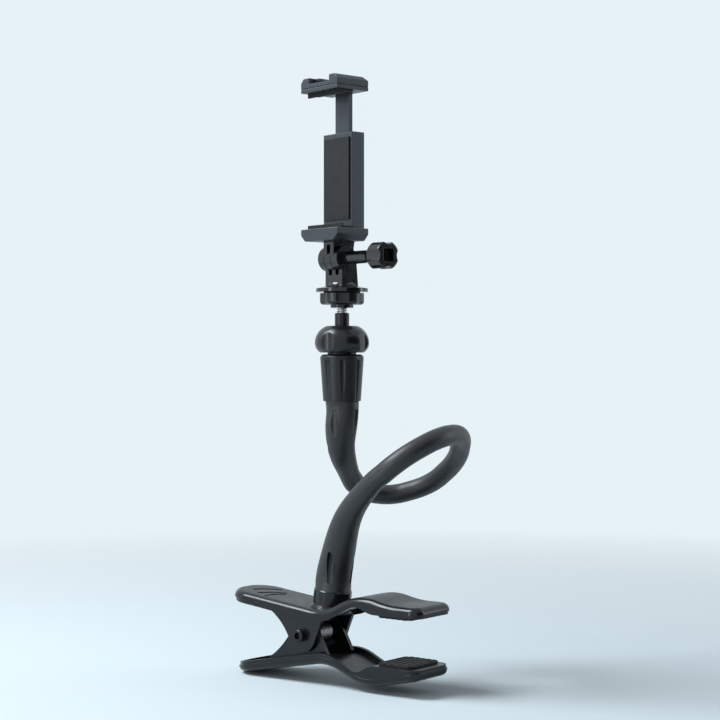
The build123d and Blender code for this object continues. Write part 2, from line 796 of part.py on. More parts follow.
# Base screw, from inside the clip up into the neck's base fitting
with BuildPart() as base_screw:
    extrude(disc(collar_plane.offset(BASE_SCREW_SEAT), BASE_SCREW_HEAD_D), amount=-BASE_SCREW_HEAD_T)
    extrude(
        disc(collar_plane.offset(BASE_SCREW_SEAT), BASE_SCREW_D),
        amount=COLLAR_FLOOR - BASE_SCREW_SEAT + BASE_SCREW_REACH,
    )
    extrude(
        hexagon(collar_plane.offset(BASE_SCREW_SEAT - BASE_SCREW_HEAD_T), BASE_SCREW_SOCKET),
        amount=BASE_SCREW_SOCKET_DEPTH,
        mode=Mode.SUBTRACT,
    )
base_screw.part.label = "base_screw"
export_step(base_screw.part, "parts/base_screw.step")

# Base fitting: holds the core's foot in the collar
with BuildPart() as base_fitting:
    extrude(disc(collar_plane.offset(COLLAR_FLOOR), FITTING_D), amount=COLLAR_H - COLLAR_FLOOR)
    extrude(
        disc(collar_plane.offset(COLLAR_H), CORE_D + 2 * FITTING_FIT),
        amount=-CORE_ENTRY,
        mode=Mode.SUBTRACT,
    )
    extrude(
        disc(collar_plane.offset(COLLAR_FLOOR), BASE_SCREW_D + FITTING_FIT),
        amount=BASE_SCREW_REACH,
        mode=Mode.SUBTRACT,
    )
base_fitting.part.label = "base_fitting"
export_step(base_fitting.part, "parts/base_fitting.step")


def along_collar(distance):
    """Point on the collar's axis."""
    return tuple(root + step * distance for root, step in zip(collar_root, collar_dir))


def bend_radii(route):
    """Bend radius at each corner, so that neighbouring bends never meet."""
    radii = []
    for before, corner, after in zip(route, route[1:], route[2:]):
        run_in = Vector(*corner) - Vector(*before)
        run_out = Vector(*after) - Vector(*corner)
        half_turn = radians(run_in.get_angle(run_out)) / 2
        radii.append(RUN_SHARE * min(run_in.length, run_out.length) / tan(half_turn))
    return radii


def middle(first, second):
    """Point halfway between two points."""
    return tuple((a + b) / 2 for a, b in zip(first, second))


def run_wire(points, radii):
    """Route of straight runs joined by tangent bends."""
    with BuildLine() as line:
        FilletPolyline(*points, radius=radii)
    return line.wire()


def cross_plane(wire, distance, across):
    """Plane across a route, at a distance along it."""
    return Plane(
        origin=wire.position_at(distance, position_mode=PositionMode.LENGTH),
        x_dir=across,
        z_dir=wire.tangent_at(distance, position_mode=PositionMode.LENGTH),
    )


# Neck route: along the collar's axis, round the loop, and up the head's axis
neck_route = (
    [along_collar(COLLAR_H), along_collar(COLLAR_H + FIRST_RUN)]
    + [(HEAD_X + x, HEAD_Y + y, FERRULE_LOW + z) for x, y, z in NECK_CORNERS]
    + [(HEAD_X, HEAD_Y, FERRULE_LOW - LAST_RUN), (HEAD_X, HEAD_Y, FERRULE_LOW)]
)
neck_radii = bend_radii(neck_route)
base_join = middle(neck_route[3], neck_route[4])
top_join = middle(neck_route[-5], neck_route[-4])
base_wire = run_wire(neck_route[:4] + [base_join], neck_radii[:3])
mid_wire = run_wire([base_join] + neck_route[4:-4] + [top_join], neck_radii[3:-3])
top_wire = run_wire([top_join] + neck_route[-4:], neck_radii[-3:])
neck_wire = run_wire(neck_route, neck_radii)
core_wire = run_wire(
    [along_collar(COLLAR_H - CORE_ENTRY)] + neck_route[1:-1] + [(HEAD_X, HEAD_Y, FERRULE_LOW + CORE_ENTRY)],
    neck_radii,
)


def flared(wire, start_d, end_d, across):
    """Sections of a neck end whose diameter runs smoothly from one size into the other."""
    sections = []
    for index in range(TAPER_STATIONS + 1):
        share = index / TAPER_STATIONS
        diameter = start_d + (end_d - start_d) * share**2 * (3 - 2 * share)
        sections.append(disc(cross_plane(wire, share * wire.length, across), diameter))
    return sections


def flute_plane(axis_plane, end_d, turn, sign):
    """Plane of one flute's rounded end, leaning in; sign is 1 where it runs along the plane."""
    angle = radians(turn)
    out = axis_plane.x_dir * cos(angle) + axis_plane.y_dir * sin(angle)
    along = axis_plane.z_dir * sign
    reach = end_d / 2 + FLUTE_R - FLUTE_DEPTH
    start = axis_plane.origin + out * reach + along * (FLUTE_START + FLUTE_R)
    return Plane(origin=start, z_dir=along - out * tan(radians(FLUTE_LEAN)))


top_plane = head_plan(FERRULE_LOW)
base_plane = collar_plane.offset(COLLAR_H)

# Gooseneck core: the metal tube that keeps its bends
with BuildPart() as gooseneck_core:
    sweep(disc(cross_plane(core_wire, 0, BASE_ACROSS), CORE_D), path=core_wire)
gooseneck_core.part.label = "gooseneck_core"
export_step(gooseneck_core.part, "parts/gooseneck_core.step")

# Gooseneck sleeve: even in the middle, flared and fluted at both ends, hollow for the core
with BuildPart() as gooseneck_sleeve:
    loft(flared(base_wire, NECK_BASE_D, NECK_D, BASE_ACROSS))
    sweep(disc(cross_plane(mid_wire, 0, BASE_ACROSS), NECK_D), path=mid_wire)
    loft(flared(top_wire, NECK_D, NECK_TOP_D, TOP_ACROSS))
    for axis_plane, end_d, turn_deg, sign in (
        (base_plane, NECK_BASE_D, BASE_FLUTE_TURN, 1),
        (top_plane, NECK_TOP_D, TOP_FLUTE_TURN, -1),
    ):
        for index in range(FLUTE_COUNT):
            plane = flute_plane(axis_plane, end_d, turn_deg + index * 360 / FLUTE_COUNT, sign)
            extrude(disc(plane, 2 * FLUTE_R), amount=FLUTE_LENGTH, mode=Mode.SUBTRACT)
    sweep(
        disc(cross_plane(neck_wire, 0, BASE_ACROSS), CORE_D + 2 * CORE_FIT),
        path=neck_wire,
        mode=Mode.SUBTRACT,
    )
gooseneck_sleeve.part.label = "gooseneck_sleeve"
export_step(gooseneck_sleeve.part, "parts/gooseneck_sleeve.step")

# Top fitting: holds the core's head inside the ferrule
with BuildPart() as top_fitting:
    extrude(disc(head_plan(FERRULE_LOW), TOP_FITTING_D), amount=fitting_high - FERRULE_LOW)
    extrude(
        disc(head_plan(FERRULE_LOW), CORE_D + 2 * FITTING_FIT),
        amount=CORE_ENTRY,
        mode=Mode.SUBTRACT,
    )
    extrude(
        disc(head_plan(post_low), POST_D + FITTING_FIT),
        amount=fitting_high - post_low,
        mode=Mode.SUBTRACT,
    )
top_fitting.part.label = "top_fitting"
export_step(top_fitting.part, "parts/top_fitting.step")

# Top ferrule: tapered socket with a rounded top edge and flutes that fade downward
ferrule_bore = TOP_FITTING_D / 2 + FITTING_FIT
with BuildPart() as top_ferrule:
    with BuildSketch(head_section) as ferrule_half:
        with BuildLine():
            Polyline(
                (0, FERRULE_LOW),
                (FERRULE_LOW_D / 2, FERRULE_LOW),
                (FERRULE_TOP_D / 2, ferrule_high),
                (0, ferrule_high),
                close=True,
            )
        make_face()
        fillet(ferrule_half.vertices().sort_by(Axis.X)[-1], FERRULE_ROUND)
    revolve(axis=head_axis)
    for index in range(FERRULE_FLUTES):
        angle = radians(FERRULE_FLUTE_TURN + index * 360 / FERRULE_FLUTES)
        out = Vector(cos(angle), sin(angle), 0)
        reach = FERRULE_TOP_D / 2 + FERRULE_FLUTE_R - FERRULE_FLUTE_DEPTH
        start = Vector(HEAD_X, HEAD_Y, ferrule_high - FERRULE_ROUND - FERRULE_FLUTE_DEPTH) + out * reach
        flute = Plane(origin=start, z_dir=Vector(0, 0, -1) - out * tan(radians(FERRULE_FLUTE_LEAN)))
        extrude(disc(flute, 2 * FERRULE_FLUTE_R), amount=FERRULE_H, mode=Mode.SUBTRACT)
    extrude(
        disc(head_plan(FERRULE_LOW), 2 * ferrule_bore),
        amount=fitting_high - FERRULE_LOW,
        mode=Mode.SUBTRACT,
    )
    extrude(
        disc(head_plan(ferrule_high), NECKING_D + 2 * FITTING_FIT),
        amount=-NECKING_DEPTH,
        mode=Mode.SUBTRACT,
    )
    extrude(
        disc(head_plan(ferrule_high), POST_D + 2 * FITTING_FIT),
        amount=-FERRULE_H,
        mode=Mode.SUBTRACT,
    )
top_ferrule.part.label = "top_ferrule"
export_step(top_ferrule.part, "parts/top_ferrule.step")

# Ball housing: post into the neck's top fitting, necking, and the cup body inside the knob
with BuildPart() as ball_housing:
    extrude(disc(head_plan(necking_low), POST_D), amount=post_low - necking_low)
    extrude(
        disc(head_plan(necking_low), NECKING_D),
        amount=NECKING_DEPTH + body_low - ferrule_high,
    )
    extrude(disc(head_plan(body_low), body_d), amount=body_high - body_low)
    extrude(
        disc(head_plan(body_floor), cup_d + 2 * CUP_FIT),
        amount=body_high,
        mode=Mode.SUBTRACT,
    )
ball_housing.part.label = "ball_housing"
export_step(ball_housing.part, "parts/ball_housing.step")

# Ball cup: the liner the ball turns in
with BuildPart() as ball_cup:
    extrude(disc(head_plan(cup_low), cup_d), amount=cup_high - cup_low)
    with BuildSketch(head_section):
        with BuildLine():
            hollow = BALL_R + BALL_FIT
            Line((0, ball_z - hollow), (0, ball_z + hollow))
            ThreePointArc((0, ball_z + hollow), (hollow, ball_z), (0, ball_z - hollow))
        make_face()
    revolve(axis=head_axis, mode=Mode.SUBTRACT)
ball_cup.part.label = "ball_cup"
export_step(ball_cup.part, "parts/ball_cup.step")

# Ball and stem, turned as one, with a threaded socket for the camera screw
with BuildPart() as ball_stem:
    with BuildSketch(head_section):
        with BuildLine():
            Line((0, ball_z - BALL_R), (0, ball_z + BALL_R))
            ThreePointArc((0, ball_z + BALL_R), (BALL_R, ball_z), (0, ball_z - BALL_R))
        make_face()
    revolve(axis=head_axis)
    extrude(disc(head_plan(ball_z), STEM_D), amount=STEM_REACH)
    fillet(ball_stem.edges().filter_by(GeomType.CIRCLE).sort_by(Axis.Z)[-1], STEM_ROUND)
    extrude(disc(head_plan(stem_high), STUD_D), amount=-STUD_ENTRY, mode=Mode.SUBTRACT)
ball_stem.part.label = "ball_stem"
export_step(ball_stem.part, "parts/ball_stem.step")

# Ball lock knob: barrel with grip scallops, a bore over the cup body and a lip that holds the ball
seat_r = BALL_R + BALL_FIT
lip_r = seat_r * KNOB_LIP_SHARE
lip_rise = sqrt(seat_r**2 - lip_r**2)
half_rise = lip_rise / 2
knob_bore = body_d / 2 + KNOB_BORE_FIT
knob_shelf = body_high + KNOB_BORE_FIT
knob_wide = (KNOB_D / 2, knob_low + KNOB_WIDE_SHARE * KNOB_H)
knob_foot = (knob_bore + KNOB_EDGE, knob_low)
knob_mouth = (lip_r + KNOB_MOUTH_FLARE, knob_high)
knob_crown = (lip_r + KNOB_MOUTH_FLARE + KNOB_TOP_EDGE, knob_high)
with BuildPart() as ball_lock_knob:
    with BuildSketch(head_section):
        with BuildLine():
            Line((knob_bore, knob_low), knob_foot)
            TangentArc(knob_wide, knob_foot, tangent=(0, -1))
            TangentArc(knob_wide, knob_crown, tangent=(0, 1))
            Polyline(knob_crown, knob_mouth, (lip_r, ball_z + lip_rise))
            ThreePointArc(
                (lip_r, ball_z + lip_rise),
                (sqrt(seat_r**2 - half_rise**2), ball_z + half_rise),
                (seat_r, ball_z),
            )
            Polyline((seat_r, ball_z), (seat_r, knob_shelf), (knob_bore, knob_shelf), (knob_bore, knob_low))
        make_face()
    revolve(axis=head_axis)
    with BuildSketch(head_plan(knob_low)):
        scallop_reach = KNOB_D / 2 + SCALLOP_R - SCALLOP_DEPTH
        with PolarLocations(scallop_reach, KNOB_SCALLOPS, start_angle=SCALLOP_TURN):
            Circle(SCALLOP_R)
    extrude(amount=KNOB_H, mode=Mode.SUBTRACT)
ball_lock_knob.part.label = "ball_lock_knob"
export_step(ball_lock_knob.part, "parts/ball_lock_knob.step")

# Camera screw on the stem
with BuildPart() as threaded_stud:
    extrude(disc(head_plan(stem_high - STUD_ENTRY), STUD_D), amount=stud_high - stem_high + STUD_ENTRY)
    chamfer(threaded_stud.edges().sort_by(Axis.Z)[-1], STUD_CHAMFER)
threaded_stud.part.label = "threaded_stud"
export_step(threaded_stud.part, "parts/threaded_stud.step")

# Lock nut: hub below, grip lobes above
with BuildPart() as lock_nut:
    with BuildSketch(head_plan(lock_low)):
        Circle(LOCK_D / 2)
        lobe_reach = LOCK_D / 2 + LOCK_SCALLOP_R - LOCK_SCALLOP_DEPTH
        with PolarLocations(lobe_reach, LOCK_SCALLOPS, start_angle=LOCK_TURN):
            Circle(LOCK_SCALLOP_R, mode=Mode.SUBTRACT)
    extrude(amount=LOCK_H)
    fillet(lock_nut.faces().sort_by(Axis.Z)[0].edges(), LOCK_ROUND)
    extrude(disc(head_plan(hub_low), LOCK_HUB_D), amount=LOCK_HUB_H + LOCK_H)
    extrude(
        disc(head_plan(hub_low), STUD_D + 2 * STUD_FIT),
        amount=LOCK_HUB_H + LOCK_H,
        mode=Mode.SUBTRACT,
    )
lock_nut.part.label = "lock_nut"
export_step(lock_nut.part, "parts/lock_nut.step")

# Rubber washer between lock nut and flange
with BuildPart() as rubber_washer:
    extrude(disc(head_plan(lock_high), WASHER_D, STUD_D + 2 * STUD_FIT), amount=WASHER_T)
rubber_washer.part.label = "rubber_washer"
export_step(rubber_washer.part, "parts/rubber_washer.step")

# Three-prong adapter: notched flange, tapered block, three prongs and the nut boss
block_low = flange_high - hinge_z
with BuildPart() as three_prong_adapter:
    extrude(
        outline(
            hinge_side.offset(-stack / 2),
            (HINGE_FORWARD - BLOCK_FRONT, 0),
            (HINGE_FORWARD - BLOCK_FRONT, block_low),
            (HINGE_FORWARD + BLOCK_BACK, block_low),
            (PRONG_R, 0),
        ),
        amount=stack,
    )
    extrude(disc(hinge_side.offset(-stack / 2), 2 * PRONG_R), amount=stack)
    with BuildSketch(hinge_front.offset(-FLANGE_D)):
        for side in (-1, 1):
            with Locations((side * (PRONG_T + PRONG_GAP) / 2, 0)):
                Rectangle(PRONG_GAP, 2 * (GAP_DEPTH - PRONG_GAP / 2))
            with Locations((side * (PRONG_T + PRONG_GAP) / 2, PRONG_GAP / 2 - GAP_DEPTH)):
                Circle(PRONG_GAP / 2)
    extrude(amount=2 * FLANGE_D, mode=Mode.SUBTRACT)
    extrude(disc(hinge_side.offset(-stack / 2), BOSS_D), amount=-BOSS_T)
    with BuildSketch(head_plan(flange_low)):
        Circle(FLANGE_D / 2)
        with PolarLocations(FLANGE_D / 2, FLANGE_NOTCHES):
            Circle(FLANGE_NOTCH_R, mode=Mode.SUBTRACT)
    extrude(amount=FLANGE_T)
    extrude(
        disc(hinge_side.offset(-stack), HINGE_BOLT_D + 2 * HINGE_FIT),
        amount=2 * stack,
        mode=Mode.SUBTRACT,
    )
    extrude(
        hexagon(hinge_side.offset(-stack / 2), HINGE_NUT_FLATS + 2 * HINGE_NUT_FIT),
        amount=-2 * BOSS_T,
        mode=Mode.SUBTRACT,
    )
    extrude(disc(head_plan(flange_low), INSERT_D + 2 * FITTING_FIT), amount=INSERT_H, mode=Mode.SUBTRACT)
three_prong_adapter.part.label = "three_prong_adapter"
export_step(three_prong_adapter.part, "parts/three_prong_adapter.step")

# Threaded bush in the adapter's flange
with BuildPart() as adapter_insert:
    extrude(disc(head_plan(flange_low), INSERT_D, STUD_D + 2 * STUD_FIT), amount=INSERT_H)
adapter_insert.part.label = "adapter_insert"
export_step(adapter_insert.part, "parts/adapter_insert.step")

# Hinge nut in its boss, and the hinge screw that runs into the thumb knob
with BuildPart() as hinge_nut:
    extrude(hexagon(hinge_side.offset(-stack / 2), HINGE_NUT_FLATS), amount=-HINGE_NUT_T)
    extrude(
        disc(hinge_side.offset(-stack / 2), HINGE_BOLT_D + 2 * HINGE_FIT),
        amount=-HINGE_NUT_T,
        mode=Mode.SUBTRACT,
    )
hinge_nut.part.label = "hinge_nut"
export_step(hinge_nut.part, "parts/hinge_nut.step")

with BuildPart() as hinge_screw:
    extrude(
        disc(hinge_side.offset(-stack / 2 - HINGE_NUT_T), HINGE_BOLT_D),
        amount=stack + HINGE_NUT_T + THUMB_GAP + THUMB_GRIP,
    )
    chamfer(hinge_screw.faces().sort_by(hinge_axis)[0].edges(), HINGE_BOLT_EDGE)
hinge_screw.part.label = "hinge_screw"
export_step(hinge_screw.part, "parts/hinge_screw.step")

# Thumb knob: round shaft flaring into four lobes, with a square recess in its end
thumb_start = stack / 2 + THUMB_GAP
flare_start = (thumb_start + THUMB_FLARE_START, THUMB_SHAFT_D / 2)
flare_end = (thumb_start + THUMB_FLARE_END, THUMB_D / 2)
with BuildPart() as thumb_knob:
    with BuildSketch(hinge_front) as thumb_half:
        with BuildLine():
            TangentArc(flare_start, flare_end, tangent=(1, 0))
            Polyline(
                flare_end,
                (thumb_start + THUMB_LENGTH, THUMB_D / 2),
                (thumb_start + THUMB_LENGTH, 0),
                (thumb_start, 0),
                (thumb_start, THUMB_SHAFT_D / 2),
                flare_start,
            )
        make_face()
        fillet(thumb_half.vertices().group_by(Axis.Y)[-1], THUMB_ROUND)
    revolve(axis=hinge_axis)
    with BuildSketch(hinge_side.offset(thumb_start + THUMB_FLARE_START)):
        with PolarLocations(THUMB_D / 2 + THUMB_SCALLOP_R - THUMB_SCALLOP_DEPTH, 4):
            Circle(THUMB_SCALLOP_R)
    extrude(amount=THUMB_LENGTH, mode=Mode.SUBTRACT)
    with BuildSketch(hinge_side.offset(thumb_start + THUMB_LENGTH)):
        RectangleRounded(THUMB_RECESS, THUMB_RECESS, THUMB_RECESS_ROUND)
    extrude(amount=-THUMB_RECESS_DEPTH, mode=Mode.SUBTRACT)
    extrude(disc(hinge_side.offset(thumb_start), HINGE_BOLT_D), amount=THUMB_GRIP, mode=Mode.SUBTRACT)
thumb_knob.part.label = "thumb_knob"
export_step(thumb_knob.part, "parts/thumb_knob.step")

# Two-prong adapter: two prongs that flare at the back, with the clamp's seat between them
fork_shift = (PRONG_T + PRONG_GAP) / 2
fork_half = fork_shift + FORK_PRONG_T / 2
seat_low = fork_low - hinge_z
seat_high = jaw_low - hinge_z
fork_plan = Plane(origin=hinge_mid + Vector(0, 0, seat_low), x_dir=u_dir, z_dir=(0, 0, 1))
with BuildPart() as two_prong_adapter:
    for side in (-1, 1):
        prong_plane = hinge_side.offset(side * fork_shift - FORK_PRONG_T / 2)
        extrude(disc(prong_plane, 2 * FORK_PRONG_R), amount=FORK_PRONG_T)
        extrude(
            outline(
                prong_plane,
                (-FORK_PRONG_R, 0),
                (FORK_PRONG_R, 0),
                (FORK_PRONG_R + FORK_BACK_FLARE, seat_high),
                (-FORK_PRONG_R, seat_high),
            ),
            amount=FORK_PRONG_T,
        )
    extrude(
        block(hinge_side.offset(-fork_half), -FORK_PRONG_R, FORK_PRONG_R, seat_low, seat_high),
        amount=2 * fork_half,
    )
    extrude(
        disc(hinge_side.offset(-stack), HINGE_BOLT_D + 2 * HINGE_FIT),
        amount=2 * stack,
        mode=Mode.SUBTRACT,
    )
    extrude(disc(fork_plan, STUD_D), amount=FORK_SEAT_T, mode=Mode.SUBTRACT)
two_prong_adapter.part.label = "two_prong_adapter"
export_step(two_prong_adapter.part, "parts/two_prong_adapter.step")

# Clamp screw: fixed in the two-prong adapter, up into the lower jaw
with BuildPart() as clamp_screw:
    extrude(disc(fork_plan, STUD_D), amount=FORK_SEAT_T + CLAMP_SCREW_REACH)
clamp_screw.part.label = "clamp_screw"
export_step(clamp_screw.part, "parts/clamp_screw.step")

# Lower jaw: metal block with a bevelled rail along both sides of its underside
with BuildPart() as lower_jaw:
    extrude(
        outline(
            clamp_front(JAW_BACK),
            (-JAW_HALF, jaw_metal_top),
            (-JAW_HALF, jaw_low + JAW_BEVEL),
            (JAW_BEVEL - JAW_HALF, jaw_low),
            (JAW_HALF - JAW_BEVEL, jaw_low),
            (JAW_HALF, jaw_low + JAW_BEVEL),
            (JAW_HALF, jaw_metal_top),
        ),
        amount=JAW_BACK - JAW_FRONT,
    )
    chamfer(lower_jaw.edges(), METAL_EDGE)
    extrude(
        disc(clamp_plan(jaw_low), STUD_D + 2 * STUD_FIT, at=(0, -HINGE_FORWARD)),
        amount=CLAMP_SCREW_REACH + STUD_FIT,
        mode=Mode.SUBTRACT,
    )
    for side in (-1, 1):
        screw_at = (side * HOUSING_SCREW_U, HOUSING_SCREW_V)
        extrude(
            disc(clamp_plan(jaw_low), HOUSING_SCREW_D + 2 * FITTING_FIT, at=screw_at),
            amount=JAW_H,
            mode=Mode.SUBTRACT,
        )
        extrude(
            disc(clamp_plan(jaw_low), HOUSING_SCREW_HEAD_D + 2 * FITTING_FIT, at=screw_at),
            amount=2 * HOUSING_SCREW_HEAD_T,
            mode=Mode.SUBTRACT,
        )
lower_jaw.part.label = "lower_jaw"
export_step(lower_jaw.part, "parts/lower_jaw.step")

# Jaw pads: rubber with a low lip at the front
with BuildPart() as lower_jaw_pad:
    extrude(
        outline(
            clamp_side(-JAW_PAD_HALF),
            (JAW_PAD_FRONT, jaw_metal_top),
            (JAW_PAD_BACK, jaw_metal_top),
            (JAW_PAD_BACK, seat_z),
            (JAW_PAD_FRONT + PAD_LIP_T, seat_z),
            (JAW_PAD_FRONT + PAD_LIP_T, seat_z + PAD_LIP_H),
            (JAW_PAD_FRONT, seat_z + PAD_LIP_H),
        ),
        amount=2 * JAW_PAD_HALF,
    )
lower_jaw_pad.part.label = "lower_jaw_pad"
export_step(lower_jaw_pad.part, "parts/lower_jaw_pad.step")

with BuildPart() as upper_jaw_pad:
    extrude(
        outline(
            clamp_side(-JAW_PAD_HALF),
            (JAW_PAD_FRONT, plate_low),
            (JAW_PAD_BACK, plate_low),
            (JAW_PAD_BACK, upper_contact),
            (JAW_PAD_FRONT + PAD_LIP_T, upper_contact),
            (JAW_PAD_FRONT + PAD_LIP_T, upper_contact - PAD_LIP_H),
            (JAW_PAD_FRONT, upper_contact - PAD_LIP_H),
        ),
        amount=2 * JAW_PAD_HALF,
    )
upper_jaw_pad.part.label = "upper_jaw_pad"
export_step(upper_jaw_pad.part, "parts/upper_jaw_pad.step")

# Clamp housing: the spine on the lower jaw, hollow from the back for the spring slide
blade_mid = BLADE_FRONT + BLADE_T / 2
with BuildPart() as clamp_housing:
    extrude(
        block(clamp_plan(jaw_metal_top), -HOUSING_HALF, HOUSING_HALF, HOUSING_FRONT, housing_back),
        amount=HOUSING_H,
    )
    chamfer(clamp_housing.faces().sort_by(depth_axis)[0].edges(), METAL_EDGE)
    extrude(
        block(clamp_plan(pocket_low), -POCKET_HALF, POCKET_HALF, POCKET_FRONT, housing_back),
        amount=pocket_high - pocket_low,
        mode=Mode.SUBTRACT,
    )
    extrude(
        block(
            clamp_plan(pocket_high),
            -BLADE_HALF - BLADE_FIT,
            BLADE_HALF + BLADE_FIT,
            BLADE_FRONT - BLADE_FIT,
            BLADE_FRONT + BLADE_T + BLADE_FIT,
        ),
        amount=POCKET_ROOF,
        mode=Mode.SUBTRACT,
    )
    for side in (-1, 1):
        rod_at = (side * ROD_U, blade_mid)
        extrude(
            disc(clamp_plan(pocket_low - ROD_ENTRY), ROD_D, at=rod_at),
            amount=pocket_high - pocket_low + 2 * ROD_ENTRY,
            mode=Mode.SUBTRACT,
        )
        extrude(
            disc(clamp_plan(jaw_metal_top), HOUSING_SCREW_D, at=(side * HOUSING_SCREW_U, HOUSING_SCREW_V)),
            amount=HOUSING_SCREW_REACH,
            mode=Mode.SUBTRACT,
        )
        for height in cover_screw_heights:
            extrude(
                disc(clamp_front(housing_back), COVER_SCREW_D, at=(side * COVER_SCREW_U, height)),
                amount=COVER_SCREW_REACH,
                mode=Mode.SUBTRACT,
            )
clamp_housing.part.label = "clamp_housing"
export_step(clamp_housing.part, "parts/clamp_housing.step")

# Housing cover with four small screws
with BuildPart() as housing_cover:
    extrude(
        block(clamp_plan(jaw_metal_top), -HOUSING_HALF, HOUSING_HALF, housing_back, JAW_BACK),
        amount=HOUSING_H,
    )
    chamfer(housing_cover.faces().sort_by(depth_axis)[-1].edges(), METAL_EDGE)
    for side in (-1, 1):
        for height in cover_screw_heights:
            screw_at = (side * COVER_SCREW_U, height)
            extrude(
                disc(clamp_front(JAW_BACK), COVER_SCREW_D + 2 * FITTING_FIT, at=screw_at),
                amount=COVER_T,
                mode=Mode.SUBTRACT,
            )
            extrude(
                disc(clamp_front(JAW_BACK), COVER_SCREW_HEAD_D + 2 * FITTING_FIT, at=screw_at),
                amount=COVER_SCREW_HEAD_T,
                mode=Mode.SUBTRACT,
            )
housing_cover.part.label = "housing_cover"
export_step(housing_cover.part, "parts/housing_cover.step")

with BuildPart() as cover_screws:
    for side in (-1, 1):
        for height in cover_screw_heights:
            screw_at = (side * COVER_SCREW_U, height)
            extrude(disc(clamp_front(JAW_BACK), COVER_SCREW_HEAD_D, at=screw_at), amount=COVER_SCREW_HEAD_T)
            extrude(
                disc(clamp_front(JAW_BACK), COVER_SCREW_D, at=screw_at),
                amount=COVER_T + COVER_SCREW_REACH,
            )
            with BuildSketch(clamp_front(JAW_BACK)):
                with Locations(screw_at):
                    Rectangle(COVER_SCREW_CROSS, COVER_SCREW_CROSS_WIDTH)
                    Rectangle(COVER_SCREW_CROSS_WIDTH, COVER_SCREW_CROSS)
            extrude(amount=COVER_SCREW_CROSS_DEPTH, mode=Mode.SUBTRACT)
cover_screws.part.label = "cover_screws"
export_step(cover_screws.part, "parts/cover_screws.step")

# Screws from the lower jaw up into the housing
with BuildPart() as housing_screws:
    for side in (-1, 1):
        screw_at = (side * HOUSING_SCREW_U, HOUSING_SCREW_V)
        screw_seat = jaw_low + 2 * HOUSING_SCREW_HEAD_T
        extrude(
            disc(clamp_plan(screw_seat), HOUSING_SCREW_HEAD_D, at=screw_at),
            amount=-HOUSING_SCREW_HEAD_T,
        )
        extrude(
            disc(clamp_plan(screw_seat), HOUSING_SCREW_D, at=screw_at),
            amount=jaw_metal_top + HOUSING_SCREW_REACH - screw_seat,
        )
        extrude(
            hexagon(clamp_plan(screw_seat - HOUSING_SCREW_HEAD_T), HOUSING_SCREW_SOCKET, at=screw_at),
            amount=HOUSING_SCREW_SOCKET_DEPTH,
            mode=Mode.SUBTRACT,
        )
housing_screws.part.label = "housing_screws"
export_step(housing_screws.part, "parts/housing_screws.step")

# Guide rods inside the housing, and the springs that pull the upper jaw down
with BuildPart() as guide_rods:
    for side in (-1, 1):
        extrude(
            disc(clamp_plan(pocket_low - ROD_ENTRY), ROD_D, at=(side * ROD_U, blade_mid)),
            amount=pocket_high - pocket_low + 2 * ROD_ENTRY,
        )
guide_rods.part.label = "guide_rods"
export_step(guide_rods.part, "parts/guide_rods.step")

spring_low = lug_low + LUG_H + SPRING_GAP
with BuildPart() as jaw_springs:
    for side in (-1, 1):
        extrude(
            disc(clamp_plan(spring_low), SPRING_D, SPRING_BORE, at=(side * ROD_U, blade_mid)),
            amount=pocket_high - SPRING_GAP - spring_low,
        )
jaw_springs.part.label = "jaw_springs"
export_step(jaw_springs.part, "parts/jaw_springs.step")

# Slide blade: runs out of the housing's top, guided by its foot on the rods
with BuildPart() as slide_blade:
    extrude(
        block(clamp_plan(lug_low), -BLADE_HALF, BLADE_HALF, BLADE_FRONT, BLADE_FRONT + BLADE_T),
        amount=shoe_low - lug_low,
    )
    extrude(
        block(clamp_plan(lug_low), -LUG_HALF, LUG_HALF, POCKET_FRONT + LUG_FIT, housing_back - LUG_FIT),
        amount=LUG_H,
    )
    for side in (-1, 1):
        extrude(
            disc(clamp_plan(lug_low), ROD_D + 2 * ROD_FIT, at=(side * ROD_U, blade_mid)),
            amount=LUG_H,
            mode=Mode.SUBTRACT,
        )
slide_blade.part.label = "slide_blade"
export_step(slide_blade.part, "parts/slide_blade.step")

# Spine pad: rubber sheet on the housing's front
with BuildPart() as spine_pad:
    extrude(
        block(
            clamp_plan(jaw_metal_top + SPINE_PAD_RISE),
            -SPINE_PAD_HALF,
            SPINE_PAD_HALF,
            HOUSING_FRONT - SPINE_PAD_T,
            HOUSING_FRONT,
        ),
        amount=HOUSING_H - SPINE_PAD_RISE - SPINE_PAD_DROP,
    )
spine_pad.part.label = "spine_pad"
export_step(spine_pad.part, "parts/spine_pad.step")

# Upper jaw plate, slotted for the blade
with BuildPart() as upper_jaw:
    extrude(
        block(clamp_plan(plate_low), -JAW_HALF, JAW_HALF, JAW_FRONT, JAW_BACK),
        amount=JAW_PLATE_T,
    )
    chamfer(upper_jaw.edges(), METAL_EDGE)
    extrude(
        block(clamp_plan(plate_low), -BLADE_HALF, BLADE_HALF, BLADE_FRONT, BLADE_FRONT + BLADE_T),
        amount=JAW_PLATE_T,
        mode=Mode.SUBTRACT,
    )
    for depth in SHOE_SCREW_V:
        extrude(
            disc(clamp_plan(shoe_low), SHOE_SCREW_D, at=(0, depth)),
            amount=SHOE_FLOOR - SHOE_SCREW_REACH - JAW_PLATE_T,
            mode=Mode.SUBTRACT,
        )
upper_jaw.part.label = "upper_jaw"
export_step(upper_jaw.part, "parts/upper_jaw.step")

